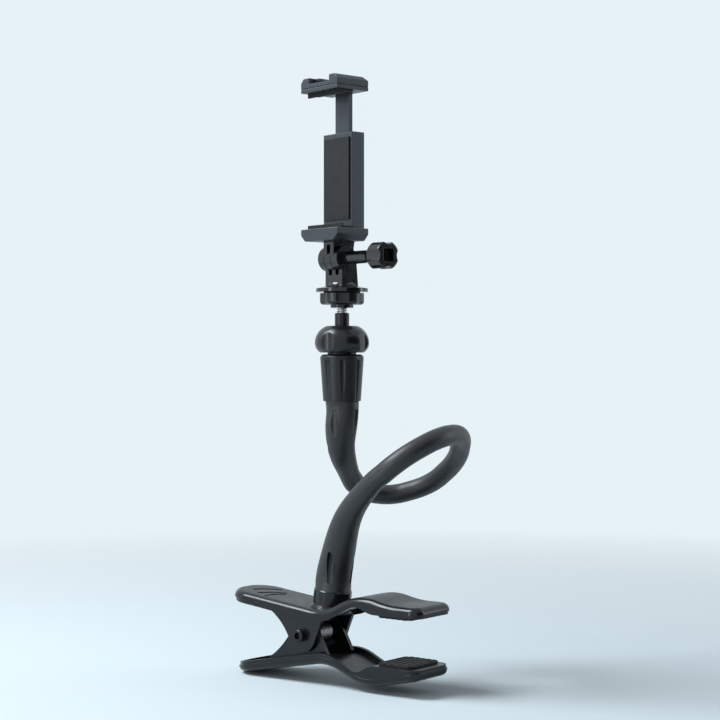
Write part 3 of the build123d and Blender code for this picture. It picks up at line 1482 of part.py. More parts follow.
# Shoe block: accessory shoe with a lipped slot, open in front of the lips
slot_floor = shoe_low + SHOE_FLOOR
slot_roof = slot_floor + SHOE_SLOT_H
with BuildPart() as shoe_block:
    extrude(
        outline(
            clamp_front(JAW_BACK),
            (-JAW_HALF, shoe_low),
            (JAW_HALF, shoe_low),
            (JAW_HALF, shoe_high - SHOE_SIDE_BEVEL),
            (JAW_HALF - SHOE_SIDE_BEVEL, shoe_high),
            (SHOE_SIDE_BEVEL - JAW_HALF, shoe_high),
            (-JAW_HALF, shoe_high - SHOE_SIDE_BEVEL),
        ),
        amount=JAW_BACK - JAW_FRONT,
    )
    chamfer(shoe_block.edges(), METAL_EDGE)
    extrude(
        outline(
            clamp_side(-JAW_HALF),
            (JAW_BACK - SHOE_BACK_BEVEL, shoe_high),
            (JAW_BACK, shoe_high - SHOE_BACK_BEVEL),
            (JAW_BACK, shoe_high),
        ),
        amount=2 * JAW_HALF,
        mode=Mode.SUBTRACT,
    )
    extrude(
        block(clamp_front(JAW_BACK), -SHOE_SLOT / 2, SHOE_SLOT / 2, slot_floor, slot_roof),
        amount=JAW_BACK - JAW_FRONT,
        mode=Mode.SUBTRACT,
    )
    extrude(
        block(clamp_front(JAW_BACK), -SHOE_MOUTH / 2, SHOE_MOUTH / 2, slot_floor, shoe_high),
        amount=JAW_BACK - JAW_FRONT,
        mode=Mode.SUBTRACT,
    )
    extrude(
        block(clamp_front(JAW_FRONT + SHOE_LEAD), -SHOE_SLOT / 2, SHOE_SLOT / 2, slot_floor, shoe_high),
        amount=SHOE_LEAD,
        mode=Mode.SUBTRACT,
    )
    for depth in SHOE_SCREW_V:
        extrude(
            disc(clamp_plan(slot_floor), SHOE_SCREW_D + 2 * FITTING_FIT, at=(0, depth)),
            amount=-SHOE_FLOOR,
            mode=Mode.SUBTRACT,
        )
        extrude(
            disc(clamp_plan(slot_floor), SHOE_SCREW_HEAD_D + 2 * FITTING_FIT, at=(0, depth)),
            amount=-SHOE_SCREW_HEAD_T,
            mode=Mode.SUBTRACT,
        )
shoe_block.part.label = "shoe_block"
export_step(shoe_block.part, "parts/shoe_block.step")

with BuildPart() as shoe_screws:
    for depth in SHOE_SCREW_V:
        extrude(disc(clamp_plan(slot_floor), SHOE_SCREW_HEAD_D, at=(0, depth)), amount=-SHOE_SCREW_HEAD_T)
        extrude(disc(clamp_plan(slot_floor), SHOE_SCREW_D, at=(0, depth)), amount=-SHOE_SCREW_REACH)
        extrude(
            hexagon(clamp_plan(slot_floor), SHOE_SCREW_SOCKET, at=(0, depth)),
            amount=-SHOE_SCREW_SOCKET_DEPTH,
            mode=Mode.SUBTRACT,
        )
shoe_screws.part.label = "shoe_screws"
export_step(shoe_screws.part, "parts/shoe_screws.step")
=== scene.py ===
"""Gooseneck phone holder: its finishes, a few reworked pieces and a plain studio around the CAD frame.

Six pieces take the place of CAD nodes: the upper arm with its thumb grooves, the wound clip spring, the neck's
sleeve with a closed wall, the cut camera screw, the adapter with its round flange, and the clamp's slide springs.

Every length is in metres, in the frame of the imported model: the origin is the middle of the upper jaw's gripping
face, X runs along the clip toward the jaws' tips and Z is up.
"""
import logging
from collections.abc import Callable, Iterator
from contextlib import contextmanager
from dataclasses import dataclass
from enum import Enum
from math import atan2, cos, hypot, pi, radians, sin, sqrt, tau

import bpy
from mathutils import Matrix, Vector


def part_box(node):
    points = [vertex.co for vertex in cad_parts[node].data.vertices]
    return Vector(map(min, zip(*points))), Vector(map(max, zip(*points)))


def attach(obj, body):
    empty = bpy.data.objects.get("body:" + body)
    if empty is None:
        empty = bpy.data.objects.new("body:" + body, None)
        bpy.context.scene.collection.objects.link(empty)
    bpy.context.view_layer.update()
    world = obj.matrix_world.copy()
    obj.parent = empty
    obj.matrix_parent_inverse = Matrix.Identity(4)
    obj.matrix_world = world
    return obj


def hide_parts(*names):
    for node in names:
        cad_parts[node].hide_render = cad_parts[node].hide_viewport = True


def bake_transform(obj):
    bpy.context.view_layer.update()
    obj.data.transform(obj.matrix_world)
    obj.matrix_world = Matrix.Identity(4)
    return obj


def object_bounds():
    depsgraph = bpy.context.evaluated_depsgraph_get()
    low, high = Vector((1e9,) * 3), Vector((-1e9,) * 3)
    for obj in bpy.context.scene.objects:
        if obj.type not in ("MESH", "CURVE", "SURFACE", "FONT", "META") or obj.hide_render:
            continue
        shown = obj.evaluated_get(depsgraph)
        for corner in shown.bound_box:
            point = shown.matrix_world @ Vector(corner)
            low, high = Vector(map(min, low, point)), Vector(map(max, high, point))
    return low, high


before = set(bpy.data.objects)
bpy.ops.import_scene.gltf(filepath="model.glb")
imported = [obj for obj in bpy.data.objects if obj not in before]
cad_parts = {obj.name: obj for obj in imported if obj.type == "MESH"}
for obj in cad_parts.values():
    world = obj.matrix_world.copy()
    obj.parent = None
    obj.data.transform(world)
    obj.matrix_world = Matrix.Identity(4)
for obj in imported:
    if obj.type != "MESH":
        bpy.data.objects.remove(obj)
CAD_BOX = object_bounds()

Colour = tuple[float, float, float]
Point = tuple[float, float, float]
Pair = tuple[float, float]
Cut = tuple[Point, Point]

log = logging.getLogger("phone_holder")
MM = 0.001

# Vertices closer than this are one.
SEAM = 0.002 * MM
# Faces that meet at less than these angles are shaded smooth, in degrees.
CAD_CREASE = 28.0
TOOL_CREASE = 30.0
# Straight steps round a turned ring.
LATHE_STEPS = 96
# Length of a wire's rounded tip and width of its end, as shares of the wire's diameter.
TIP_LENGTH = 0.25
TIP_WIDTH = 0.55

# Sizes of the clouds in a finish's colour, the patches in its roughness and the spots on its lighter edges, which
# are partly rubbed wear and partly painted highlight.
CLOUD_SIZE = 9 * MM
PATCH_SIZE = 5 * MM
RUB_SIZE = 1.5 * MM
# How much finer noise is added to coarse noise.
NOISE_ROUGHNESS = 0.55
# Noise values between which the roughness wanders, and between which an edge goes from kept to rubbed.
PATCH_SPAN: Pair = (0.3, 0.7)
RUB_SPAN: Pair = (0.35, 0.65)
# Weight of the lighter edge, which is partly wear and partly painted highlight, where it is kept and where it is
# rubbed.
RUB_WEIGHT: Pair = (0.4, 1.0)
# Cosines between the softened and the true normal, from the middle of an edge to a flat face.
EDGE_SPAN: Pair = (0.86, 0.995)
# Upright share of the normal, from a slope to a face that points up or down.
LEVEL_SPAN: Pair = (0.86, 0.97)
# Scale of the turning marks along each axis: long round the part, fine along Z.
TURNED_STRETCH: Point = (0.02, 0.02, 1.0)
# Rays by which a softened edge is found.
EDGE_SAMPLES = 6


class Grain(Enum):
    """Kinds of fine surface relief."""

    SPARKED = "spark-eroded mould texture"
    PEEL = "faint waves of a polished mould"
    DULL = "dull rubber skin"
    BLASTED = "bead-blasted metal"
    TURNED = "turning marks round the head axis"


class Axis(Enum):
    """Axes that a wound or turned piece can run along."""

    Y = "Y"
    Z = "Z"


class NodeSheet:
    """The node tree of a material or a world, filled from code."""

    def __init__(self, owner: bpy.types.Material | bpy.types.World) -> None:
        """Starts with an empty tree.

        Args:
            owner: A new material or world.
        """
        self.owner = owner
        owner.use_nodes = True
        self.tree = owner.node_tree
        self.tree.nodes.clear()

    def add(self, kind: str, **values: object) -> bpy.types.Node:
        """Adds a node and sets its properties and inputs.

        Args:
            kind: The node's type name.
            values: Property names, or input names with spaces written as underscores.

        Returns:
            The new node.
        """
        node = self.tree.nodes.new(kind)
        for name, value in values.items():
            socket = node.inputs.get(name.replace("_", " "))
            if socket is not None:
                socket.default_value = value
            else:
                setattr(node, name, value)
        return node

    def link(self, source: bpy.types.NodeSocket, target: bpy.types.NodeSocket) -> None:
        """Joins two sockets.

        Args:
            source: An output.
            target: An input.
        """
        self.tree.links.new(source, target)

    def show(self, kind: str, shader: bpy.types.NodeSocket) -> None:
        """Joins a shader to a new output node.

        Args:
            kind: The output node's type name.
            shader: The shader to show.
        """
        self.link(shader, self.add(kind).inputs["Surface"])

    def mixed(self, share: bpy.types.NodeSocket, first: bpy.types.Node,
              second: bpy.types.Node) -> bpy.types.NodeSocket:
        """Mixes two shaders.

        Args:
            share: Share of the second shader.
            first: A shader node.
            second: A shader node.

        Returns:
            The mixed shader.
        """
        mix = self.add("ShaderNodeMixShader")
        for source, slot in zip((share, first.outputs[0], second.outputs[0]), mix.inputs):
            self.link(source, slot)
        return mix.outputs["Shader"]

    def maths(self, operation: str, first: object, second: object) -> bpy.types.NodeSocket:
        """Adds a Math node whose operands are numbers or sockets.

        Args:
            operation: The node's operation.
            first: A number or a socket.
            second: A number or a socket.

        Returns:
            The node's value.
        """
        node = self.add("ShaderNodeMath", operation=operation)
        for slot, operand in zip(node.inputs, (first, second)):
            if isinstance(operand, bpy.types.NodeSocket):
                self.link(operand, slot)
            else:
                slot.default_value = operand
        return node.outputs[0]

    def span(self, value: bpy.types.NodeSocket, result: Pair, source: Pair = (0.0, 1.0)) -> bpy.types.NodeSocket:
        """Maps a value from one span to another, clamped.

        Args:
            value: The value to map.
            result: Results at the incoming span's start and end.
            source: Start and end of the incoming span.

        Returns:
            The mapped value.
        """
        node = self.add("ShaderNodeMapRange", From_Min=source[0], From_Max=source[1], To_Min=result[0],
                        To_Max=result[1])
        self.link(value, node.inputs["Value"])
        return node.outputs["Result"]

    def noise(self, size: float, detail: float, stretch: Point = (1.0, 1.0, 1.0)) -> bpy.types.NodeSocket:
        """Noise on the piece's own coordinates.

        Args:
            size: Size of one blotch, in metres.
            detail: Octaves of finer noise.
            stretch: Scale along each axis.

        Returns:
            The noise's value, about 0.5.
        """
        place = self.add("ShaderNodeTexCoord")
        scaled = self.add("ShaderNodeMapping", Scale=stretch)
        cloud = self.add("ShaderNodeTexNoise", Scale=1.0 / size, Detail=detail, Roughness=NOISE_ROUGHNESS)
        self.link(place.outputs["Object"], scaled.inputs["Vector"])
        self.link(scaled.outputs["Vector"], cloud.inputs["Vector"])
        return cloud.outputs["Fac"]


@dataclass(frozen=True)
class Finish:
    """A surface finish.

    Attributes:
        name: The material's name.
        slot: The record's material slot; not used.
        colour: Linear base colour.
        roughness: Middle roughness.
        drift: How far the roughness wanders either way.
        mottle: Share by which the colour wanders either way.
        grain: Kind of fine relief.
        grain_size: Size of one grain, in metres.
        grain_depth: Depth of the grain, in metres.
        edge: Radius of the softened edges, in metres.
        metallic: 1 for bare metal.
        specular: Specular level of a plastic or rubber.
        polish: Roughness of the faces that point sideways, where those are polished and bare of grain.
        edge_wear_and_sheen: Share by which the colour is lighter along the edges, partly as wear and partly as a
            painted highlight.
    """

    name: str
    slot: str
    colour: Colour
    roughness: float
    drift: float
    mottle: float
    grain: Grain
    grain_size: float
    grain_depth: float
    edge: float
    metallic: float = 0.0
    specular: float = 0.5
    polish: float | None = None
    edge_wear_and_sheen: float = 0.0

    def material(self) -> bpy.types.Material:
        """Builds the finish as a material.

        Returns:
            The material.
        """
        sheet = NodeSheet(bpy.data.materials.new(self.name))
        shader = sheet.add("ShaderNodeBsdfPrincipled", Metallic=self.metallic, Specular_IOR_Level=self.specular)
        sheet.show("ShaderNodeOutputMaterial", shader.outputs["BSDF"])
        self.paint(sheet, shader)
        self.dull(sheet, shader)
        self.emboss(sheet, shader)
        return sheet.owner

    def tint(self, share: float) -> tuple[float, ...]:
        """Makes the base colour lighter or darker.

        Args:
            share: What each channel is multiplied by.

        Returns:
            The colour, opaque.
        """
        return (*(channel * share for channel in self.colour), 1)

    def paint(self, sheet: NodeSheet, shader: bpy.types.Node) -> None:
        """Gives the base colour a slight cloud, and lighter edges that are partly wear and partly painted
        highlight.

        Args:
            sheet: The material's node tree.
            shader: The node to colour.
        """
        cloud = sheet.add("ShaderNodeMix", data_type="RGBA")
        cloud.inputs["A"].default_value = self.tint(1 - self.mottle)
        cloud.inputs["B"].default_value = self.tint(1 + self.mottle)
        sheet.link(sheet.noise(CLOUD_SIZE, detail=5.0), cloud.inputs["Factor"])
        colour = cloud.outputs["Result"]
        # Lighter edges: partly wear, partly a painted highlight where gloss would catch the light.
        if self.edge_wear_and_sheen > 0:
            worn_and_lit_edge = sheet.add("ShaderNodeMix", data_type="RGBA")
            worn_and_lit_edge.inputs["B"].default_value = self.tint(1 + self.edge_wear_and_sheen)
            sheet.link(colour, worn_and_lit_edge.inputs["A"])
            sheet.link(self.edges(sheet), worn_and_lit_edge.inputs["Factor"])
            colour = worn_and_lit_edge.outputs["Result"]
        sheet.link(colour, shader.inputs["Base Color"])

    def edges(self, sheet: NodeSheet) -> bpy.types.NodeSocket:
        """Finds the piece's edges, broken up in rubbed spots, where the colour is lightened as wear and as a
        painted highlight.

        Args:
            sheet: The material's node tree.

        Returns:
            A mask, 1 on a lightened edge: partly rubbed wear, partly painted highlight.
        """
        soft = sheet.add("ShaderNodeBevel", samples=EDGE_SAMPLES, Radius=2 * self.edge)
        flat = sheet.add("ShaderNodeNewGeometry")
        turn = sheet.add("ShaderNodeVectorMath", operation="DOT_PRODUCT")
        sheet.link(soft.outputs["Normal"], turn.inputs[0])
        sheet.link(flat.outputs["Normal"], turn.inputs[1])
        rubbed = sheet.span(sheet.noise(RUB_SIZE, detail=4.0), RUB_WEIGHT, RUB_SPAN)
        return sheet.maths("MULTIPLY", sheet.span(turn.outputs["Value"], (1.0, 0.0), EDGE_SPAN), rubbed)

    def dull(self, sheet: NodeSheet, shader: bpy.types.Node) -> None:
        """Lets the roughness wander, as handling and moulding leave it.

        Args:
            sheet: The material's node tree.
            shader: The node whose roughness is set.
        """
        reach = (self.roughness - self.drift, self.roughness + self.drift)
        value = sheet.span(sheet.noise(PATCH_SIZE, detail=6.0), reach, PATCH_SPAN)
        if self.polish is not None:
            drop = sheet.span(self.level(sheet), (self.polish - self.roughness, 0.0))
            value = sheet.maths("ADD", value, drop)
        sheet.link(value, shader.inputs["Roughness"])

    def level(self, sheet: NodeSheet) -> bpy.types.NodeSocket:
        """Finds the faces that point up or down.

        Args:
            sheet: The material's node tree.

        Returns:
            A mask, 1 on those faces.
        """
        place = sheet.add("ShaderNodeTexCoord")
        split = sheet.add("ShaderNodeSeparateXYZ")
        sheet.link(place.outputs["Normal"], split.inputs["Vector"])
        return sheet.span(sheet.maths("ABSOLUTE", split.outputs["Z"], 0.0), (0.0, 1.0), LEVEL_SPAN)

    def relief(self, sheet: NodeSheet) -> bpy.types.NodeSocket:
        """Height of the fine relief.

        Args:
            sheet: The material's node tree.

        Returns:
            The height.
        """
        if self.grain is Grain.TURNED:
            return sheet.noise(self.grain_size, detail=1.0, stretch=TURNED_STRETCH)
        if self.grain in (Grain.SPARKED, Grain.BLASTED):
            place = sheet.add("ShaderNodeTexCoord")
            cells = sheet.add("ShaderNodeTexVoronoi", Scale=1.0 / self.grain_size, Randomness=1.0)
            sheet.link(place.outputs["Object"], cells.inputs["Vector"])
            return sheet.maths("ADD", cells.outputs["Distance"], sheet.noise(2 * self.grain_size, detail=3.0))
        return sheet.noise(self.grain_size, detail=4.0)

    def emboss(self, sheet: NodeSheet, shader: bpy.types.Node) -> None:
        """Softens the edges and adds the fine relief.

        Args:
            sheet: The material's node tree.
            shader: The node whose normal is set.
        """
        soft = sheet.add("ShaderNodeBevel", samples=EDGE_SAMPLES, Radius=self.edge)
        bump = sheet.add("ShaderNodeBump", Strength=1.0, Distance=self.grain_depth)
        height = self.relief(sheet)
        if self.polish is not None:
            height = sheet.maths("MULTIPLY", height, self.level(sheet))
        sheet.link(soft.outputs["Normal"], bump.inputs["Normal"])
        sheet.link(height, bump.inputs["Height"])
        sheet.link(bump.outputs["Normal"], shader.inputs["Normal"])


CLIP_PLASTIC = Finish(
    name="clip_plastic", slot="clip_plastic", colour=(0.0085, 0.0096, 0.0116),
    roughness=0.40, drift=0.05, mottle=0.12, specular=0.36, polish=0.20,
    grain=Grain.SPARKED, grain_size=0.45 * MM, grain_depth=0.022 * MM, edge=0.25 * MM,
)
SATIN_PLASTIC = Finish(
    name="black_plastic", slot="black_plastic", colour=(0.0100, 0.0108, 0.0122),
    roughness=0.38, drift=0.05, mottle=0.12, specular=0.32,
    grain=Grain.SPARKED, grain_size=0.30 * MM, grain_depth=0.008 * MM, edge=0.30 * MM,
)
KNOB_PLASTIC = Finish(
    name="knob_plastic", slot="black_plastic", colour=(0.0085, 0.0092, 0.0105),
    roughness=0.28, drift=0.04, mottle=0.10, specular=0.42,
    grain=Grain.PEEL, grain_size=1.40 * MM, grain_depth=0.010 * MM, edge=0.35 * MM,
)
GLOSS_PLASTIC = Finish(
    name="gloss_black", slot="gloss_black", colour=(0.0055, 0.0058, 0.0065),
    roughness=0.15, drift=0.04, mottle=0.10, specular=0.52,
    grain=Grain.PEEL, grain_size=1.60 * MM, grain_depth=0.015 * MM, edge=0.30 * MM,
)
SLEEVE_RUBBER = Finish(
    name="sleeve_rubber", slot="sleeve_rubber", colour=(0.0105, 0.0112, 0.0126),
    roughness=0.46, drift=0.05, mottle=0.12, specular=0.55,
    grain=Grain.DULL, grain_size=0.35 * MM, grain_depth=0.010 * MM, edge=0.30 * MM,
)
PAD_RUBBER = Finish(
    name="pad_rubber", slot="pad_rubber", colour=(0.0105, 0.0107, 0.0110),
    roughness=0.68, drift=0.06, mottle=0.15, specular=0.30,
    grain=Grain.DULL, grain_size=0.30 * MM, grain_depth=0.020 * MM, edge=0.20 * MM,
)
CLAMP_METAL = Finish(
    name="clamp_metal", slot="clamp_metal", colour=(0.066, 0.072, 0.079),
    # Lighter edges: partly wear, partly painted highlight.
    roughness=0.42, drift=0.05, mottle=0.10, metallic=0.9, edge_wear_and_sheen=0.8,
    grain=Grain.BLASTED, grain_size=0.22 * MM, grain_depth=0.006 * MM, edge=0.30 * MM,
)
BRIGHT_STEEL = Finish(
    name="steel", slot="steel", colour=(0.58, 0.58, 0.57),
    roughness=0.24, drift=0.05, mottle=0.06, metallic=1.0,
    grain=Grain.TURNED, grain_size=0.10 * MM, grain_depth=0.004 * MM, edge=0.12 * MM,
)
SPRING_WIRE = Finish(
    name="spring_wire", slot="steel", colour=(0.36, 0.36, 0.37),
    roughness=0.30, drift=0.05, mottle=0.10, metallic=1.0,
    grain=Grain.PEEL, grain_size=0.80 * MM, grain_depth=0.004 * MM, edge=0.12 * MM,
)
BLACK_STEEL = Finish(
    name="black_steel", slot="black_steel", colour=(0.020, 0.020, 0.022),
    # Lighter edges: partly wear, partly painted highlight.
    roughness=0.34, drift=0.06, mottle=0.12, metallic=0.6, edge_wear_and_sheen=1.0,
    grain=Grain.BLASTED, grain_size=0.20 * MM, grain_depth=0.005 * MM, edge=0.20 * MM,
)
BRASS = Finish(
    name="brass", slot="brass", colour=(0.62, 0.42, 0.16),
    roughness=0.28, drift=0.05, mottle=0.08, metallic=1.0,
    grain=Grain.TURNED, grain_size=0.12 * MM, grain_depth=0.004 * MM, edge=0.15 * MM,
)
CUP_LINER = Finish(
    name="liner", slot="liner", colour=(0.050, 0.050, 0.055),
    roughness=0.45, drift=0.05, mottle=0.10,
    grain=Grain.PEEL, grain_size=1.20 * MM, grain_depth=0.010 * MM, edge=0.20 * MM,
)
FINISHES: tuple[Finish, ...] = (
    CLIP_PLASTIC, SATIN_PLASTIC, KNOB_PLASTIC, GLOSS_PLASTIC, SLEEVE_RUBBER, PAD_RUBBER,
    CLAMP_METAL, BRIGHT_STEEL, SPRING_WIRE, BLACK_STEEL, BRASS, CUP_LINER,
)


class Palette:
    """The built finishes, by name."""

    def __init__(self) -> None:
        """Builds every finish once."""
        self.built: dict[str, bpy.types.Material] = {finish.name: finish.material() for finish in FINISHES}

    def wear(self, piece: bpy.types.Object, finish: Finish) -> None:
        """Gives a piece one finish.

        Args:
            piece: The piece to dress.
            finish: The finish it gets.
        """
        piece.data.materials.clear()
        piece.data.materials.append(self.built[finish.name])

    def dress(self, finish: Finish, *names: str) -> None:
        """Gives CAD nodes one finish.

        Args:
            finish: The finish they get.
            names: The nodes' names.
        """
        for name in names:
            self.wear(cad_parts[name], finish)
            log.info("%s wears %s", name, finish.name)

    def replace(self, node: str, piece: bpy.types.Object, finish: Finish) -> None:
        """Gives a new piece one finish and puts it in a CAD node's place.

        Args:
            node: The node's name.
            piece: The piece, in place.
            finish: The finish it gets.
        """
        self.wear(piece, finish)
        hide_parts(node)
        log.info("%s wears %s, in place of %s", piece.name, finish.name, node)


def deselect() -> None:
    """Leaves nothing selected, in object mode."""
    if bpy.context.object is not None and bpy.context.object.mode != "OBJECT":
        bpy.ops.object.mode_set(mode="OBJECT")
    bpy.ops.object.select_all(action="DESELECT")


def activate(piece: bpy.types.Object) -> None:
    """Makes a piece the active one and the only one selected.

    Args:
        piece: The piece to work on.
    """
    deselect()
    piece.select_set(True)
    bpy.context.view_layer.objects.active = piece


@contextmanager
def editing(piece: bpy.types.Object) -> Iterator[None]:
    """Holds a piece in edit mode for the length of a with block.

    Args:
        piece: The piece to edit.

    Returns:
        The block's context.
    """
    bpy.context.view_layer.objects.active = piece
    bpy.ops.object.mode_set(mode="EDIT")
    yield
    bpy.ops.object.mode_set(mode="OBJECT")


def modify(piece: bpy.types.Object, kind: str, **settings: object) -> None:
    """Adds a modifier to a piece and applies it.

    Args:
        piece: The piece to change.
        kind: The modifier's type.
        settings: The modifier's properties.
    """
    bpy.context.view_layer.objects.active = piece
    modifier = piece.modifiers.new(kind.lower(), kind)
    for name, value in settings.items():
        setattr(modifier, name, value)
    bpy.ops.object.modifier_apply(modifier=modifier.name)


def choose(piece: bpy.types.Object, test: Callable[[Vector], bool]) -> None:
    """Selects a piece's vertices by place.

    Args:
        piece: The active piece, in edit mode. It is left in edit mode, with vertex selection.
        test: Takes a vertex's place and says whether it is wanted.
    """
    bpy.ops.object.mode_set(mode="OBJECT")
    for part in (*piece.data.polygons, *piece.data.edges):
        part.select = False
    for vertex in piece.data.vertices:
        vertex.select = test(vertex.co)
    bpy.ops.object.mode_set(mode="EDIT")
    bpy.ops.mesh.select_mode(type="VERT")


def trim(piece: bpy.types.Object, cuts: tuple[Cut, ...], fill: bool) -> None:
    """Cuts a piece off at planes, one after the other.

    Args:
        piece: The piece to trim.
        cuts: A place on each plane, and the direction toward what is kept.
        fill: Whether each cut is closed.
    """
    with editing(piece):
        for place, kept in cuts:
            bpy.ops.mesh.select_all(action="SELECT")
            bpy.ops.mesh.bisect(plane_co=place, plane_no=kept, use_fill=fill, clear_inner=True)


def settle(piece: bpy.types.Object, name: str, crease: float) -> bpy.types.Object:
    """Closes a new piece's work: place in the mesh, normals out, smooth faces.

    Args:
        piece: The finished piece.
        name: Its name.
        crease: Faces that meet at less than this angle are shaded smooth, in degrees.

    Returns:
        The same piece.
    """
    activate(piece)
    bpy.ops.object.transform_apply(location=True, rotation=True, scale=True)
    with editing(piece):
        bpy.ops.mesh.select_all(action="SELECT")
        bpy.ops.mesh.remove_doubles(threshold=SEAM)
        bpy.ops.mesh.normals_make_consistent(inside=False)
    bpy.ops.object.shade_smooth_by_angle(angle=radians(crease))
    piece.name = name
    piece.data.name = name
    piece.select_set(False)
    return piece


def copied(node: str, name: str) -> bpy.types.Object:
    """Copies a CAD node's shape into a new piece, with its seams merged.

    Args:
        node: The node's name.
        name: The new piece's name.

    Returns:
        The new piece.
    """
    piece = bpy.data.objects.new(name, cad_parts[node].data.copy())
    bpy.context.scene.collection.objects.link(piece)
    activate(piece)
    bpy.ops.mesh.customdata_custom_splitnormals_clear()
    return settle(piece, name, CAD_CREASE)


def combine(piece: bpy.types.Object, tools: list[tuple[bpy.types.Object, str]]) -> bpy.types.Object:
    """Cuts tools out of a piece or joins them to it, uses them up and evens the shading.

    Args:
        piece: The piece to work on.
        tools: The tools, in place, each with its Boolean operation.

    Returns:
        The same piece.
    """
    for tool, operation in tools:
        modify(piece, "BOOLEAN", operation=operation, solver="EXACT", object=tool)
        bpy.data.objects.remove(tool)
    settle(piece, piece.name, CAD_CREASE)
    modify(piece, "WEIGHTED_NORMAL", weight=100, keep_sharp=True)
    return piece


def open_edges(piece: bpy.types.Object) -> list[tuple[int, int]]:
    """Edges that belong to one face only.

    Args:
        piece: The piece to look at.

    Returns:
        The edges, as pairs of vertex numbers.
    """
    count: dict[tuple[int, int], int] = {}
    for face in piece.data.polygons:
        for key in face.edge_keys:
            count[key] = count.get(key, 0) + 1
    return [key for key, uses in count.items() if uses == 1]


def wind_wire(wire_d: float, sides: int, bend_r: float, start: float, sweep: float, rise: float,
              steps: int) -> bpy.types.Object:
    """Winds a round wire about the Y axis, with both ends open.

    Args:
        wire_d: The wire's diameter.
        sides: Flat sides of the wire's section.
        bend_r: Radius of the bend, to the middle of the wire.
        start: Angle of the wire's start, from X toward Z.
        sweep: Angle of the whole winding, from Z toward X.
        rise: How far the winding runs along Y, about the origin.
        steps: Straight steps along the winding.

    Returns:
        The wire.
    """
    deselect()
    bpy.ops.mesh.primitive_circle_add(vertices=sides, radius=wire_d / 2)
    wire = bpy.context.object
    with editing(wire):
        bpy.ops.mesh.select_all(action="SELECT")
        bpy.ops.transform.translate(value=(bend_r, -rise / 2, 0.0))
    wire.data.transform(Matrix.Rotation(-start, 4, "Y"))
    modify(wire, "SCREW", axis=Axis.Y.value, angle=sweep, screw_offset=rise, steps=steps, render_steps=steps,
           use_smooth_shade=True)
    return wire


def grow_end(wire: bpy.types.Object, foot: Vector, along: Vector, wire_d: float) -> None:
    """Extrudes an open end of a wire straight on, to a rounded tip.

    Args:
        wire: The wire, about its own centre.
        foot: Middle of the open end.
        along: From the foot to the tip.
        wire_d: The wire's diameter.
    """
    ends = {i for edge in open_edges(wire) for i in edge}
    wanted = {i for i in ends if (wire.data.vertices[i].co - foot).length < wire_d}
    for face in wire.data.polygons:
        face.select = False
    for edge in wire.data.edges:
        edge.select = set(edge.vertices) <= wanted
    for vertex in wire.data.vertices:
        vertex.select = vertex.index in wanted
    tip_round = along.normalized() * wire_d * TIP_LENGTH
    with editing(wire):
        bpy.ops.mesh.select_mode(type="EDGE")
        bpy.ops.mesh.extrude_edges_move(TRANSFORM_OT_translate={"value": along - tip_round})
        bpy.ops.mesh.extrude_edges_move(TRANSFORM_OT_translate={"value": tip_round})
        bpy.ops.transform.resize(value=(TIP_WIDTH,) * 3, center_override=foot + along)
        bpy.ops.mesh.edge_face_add()


def turned(profile: tuple[Pair, ...], at: Point, name: str) -> bpy.types.Object:
    """Turns a closed profile about an upright axis.

    Args:
        profile: Radius and height of each corner, in millimetres.
        at: The axis's foot.
        name: The ring's name.

    Returns:
        The ring, in place.
    """
    deselect()
    bpy.ops.mesh.primitive_circle_add(vertices=len(profile))
    ring = bpy.context.object
    for corner, (radius, height) in zip(ring.data.vertices, profile):
        corner.co = (radius * MM, 0.0, height * MM)
    modify(ring, "SCREW", axis=Axis.Z.value, angle=tau, steps=LATHE_STEPS, render_steps=LATHE_STEPS,
           use_merge_vertices=True, merge_threshold=SEAM)
    ring.location = at
    return settle(ring, name, TOOL_CREASE)


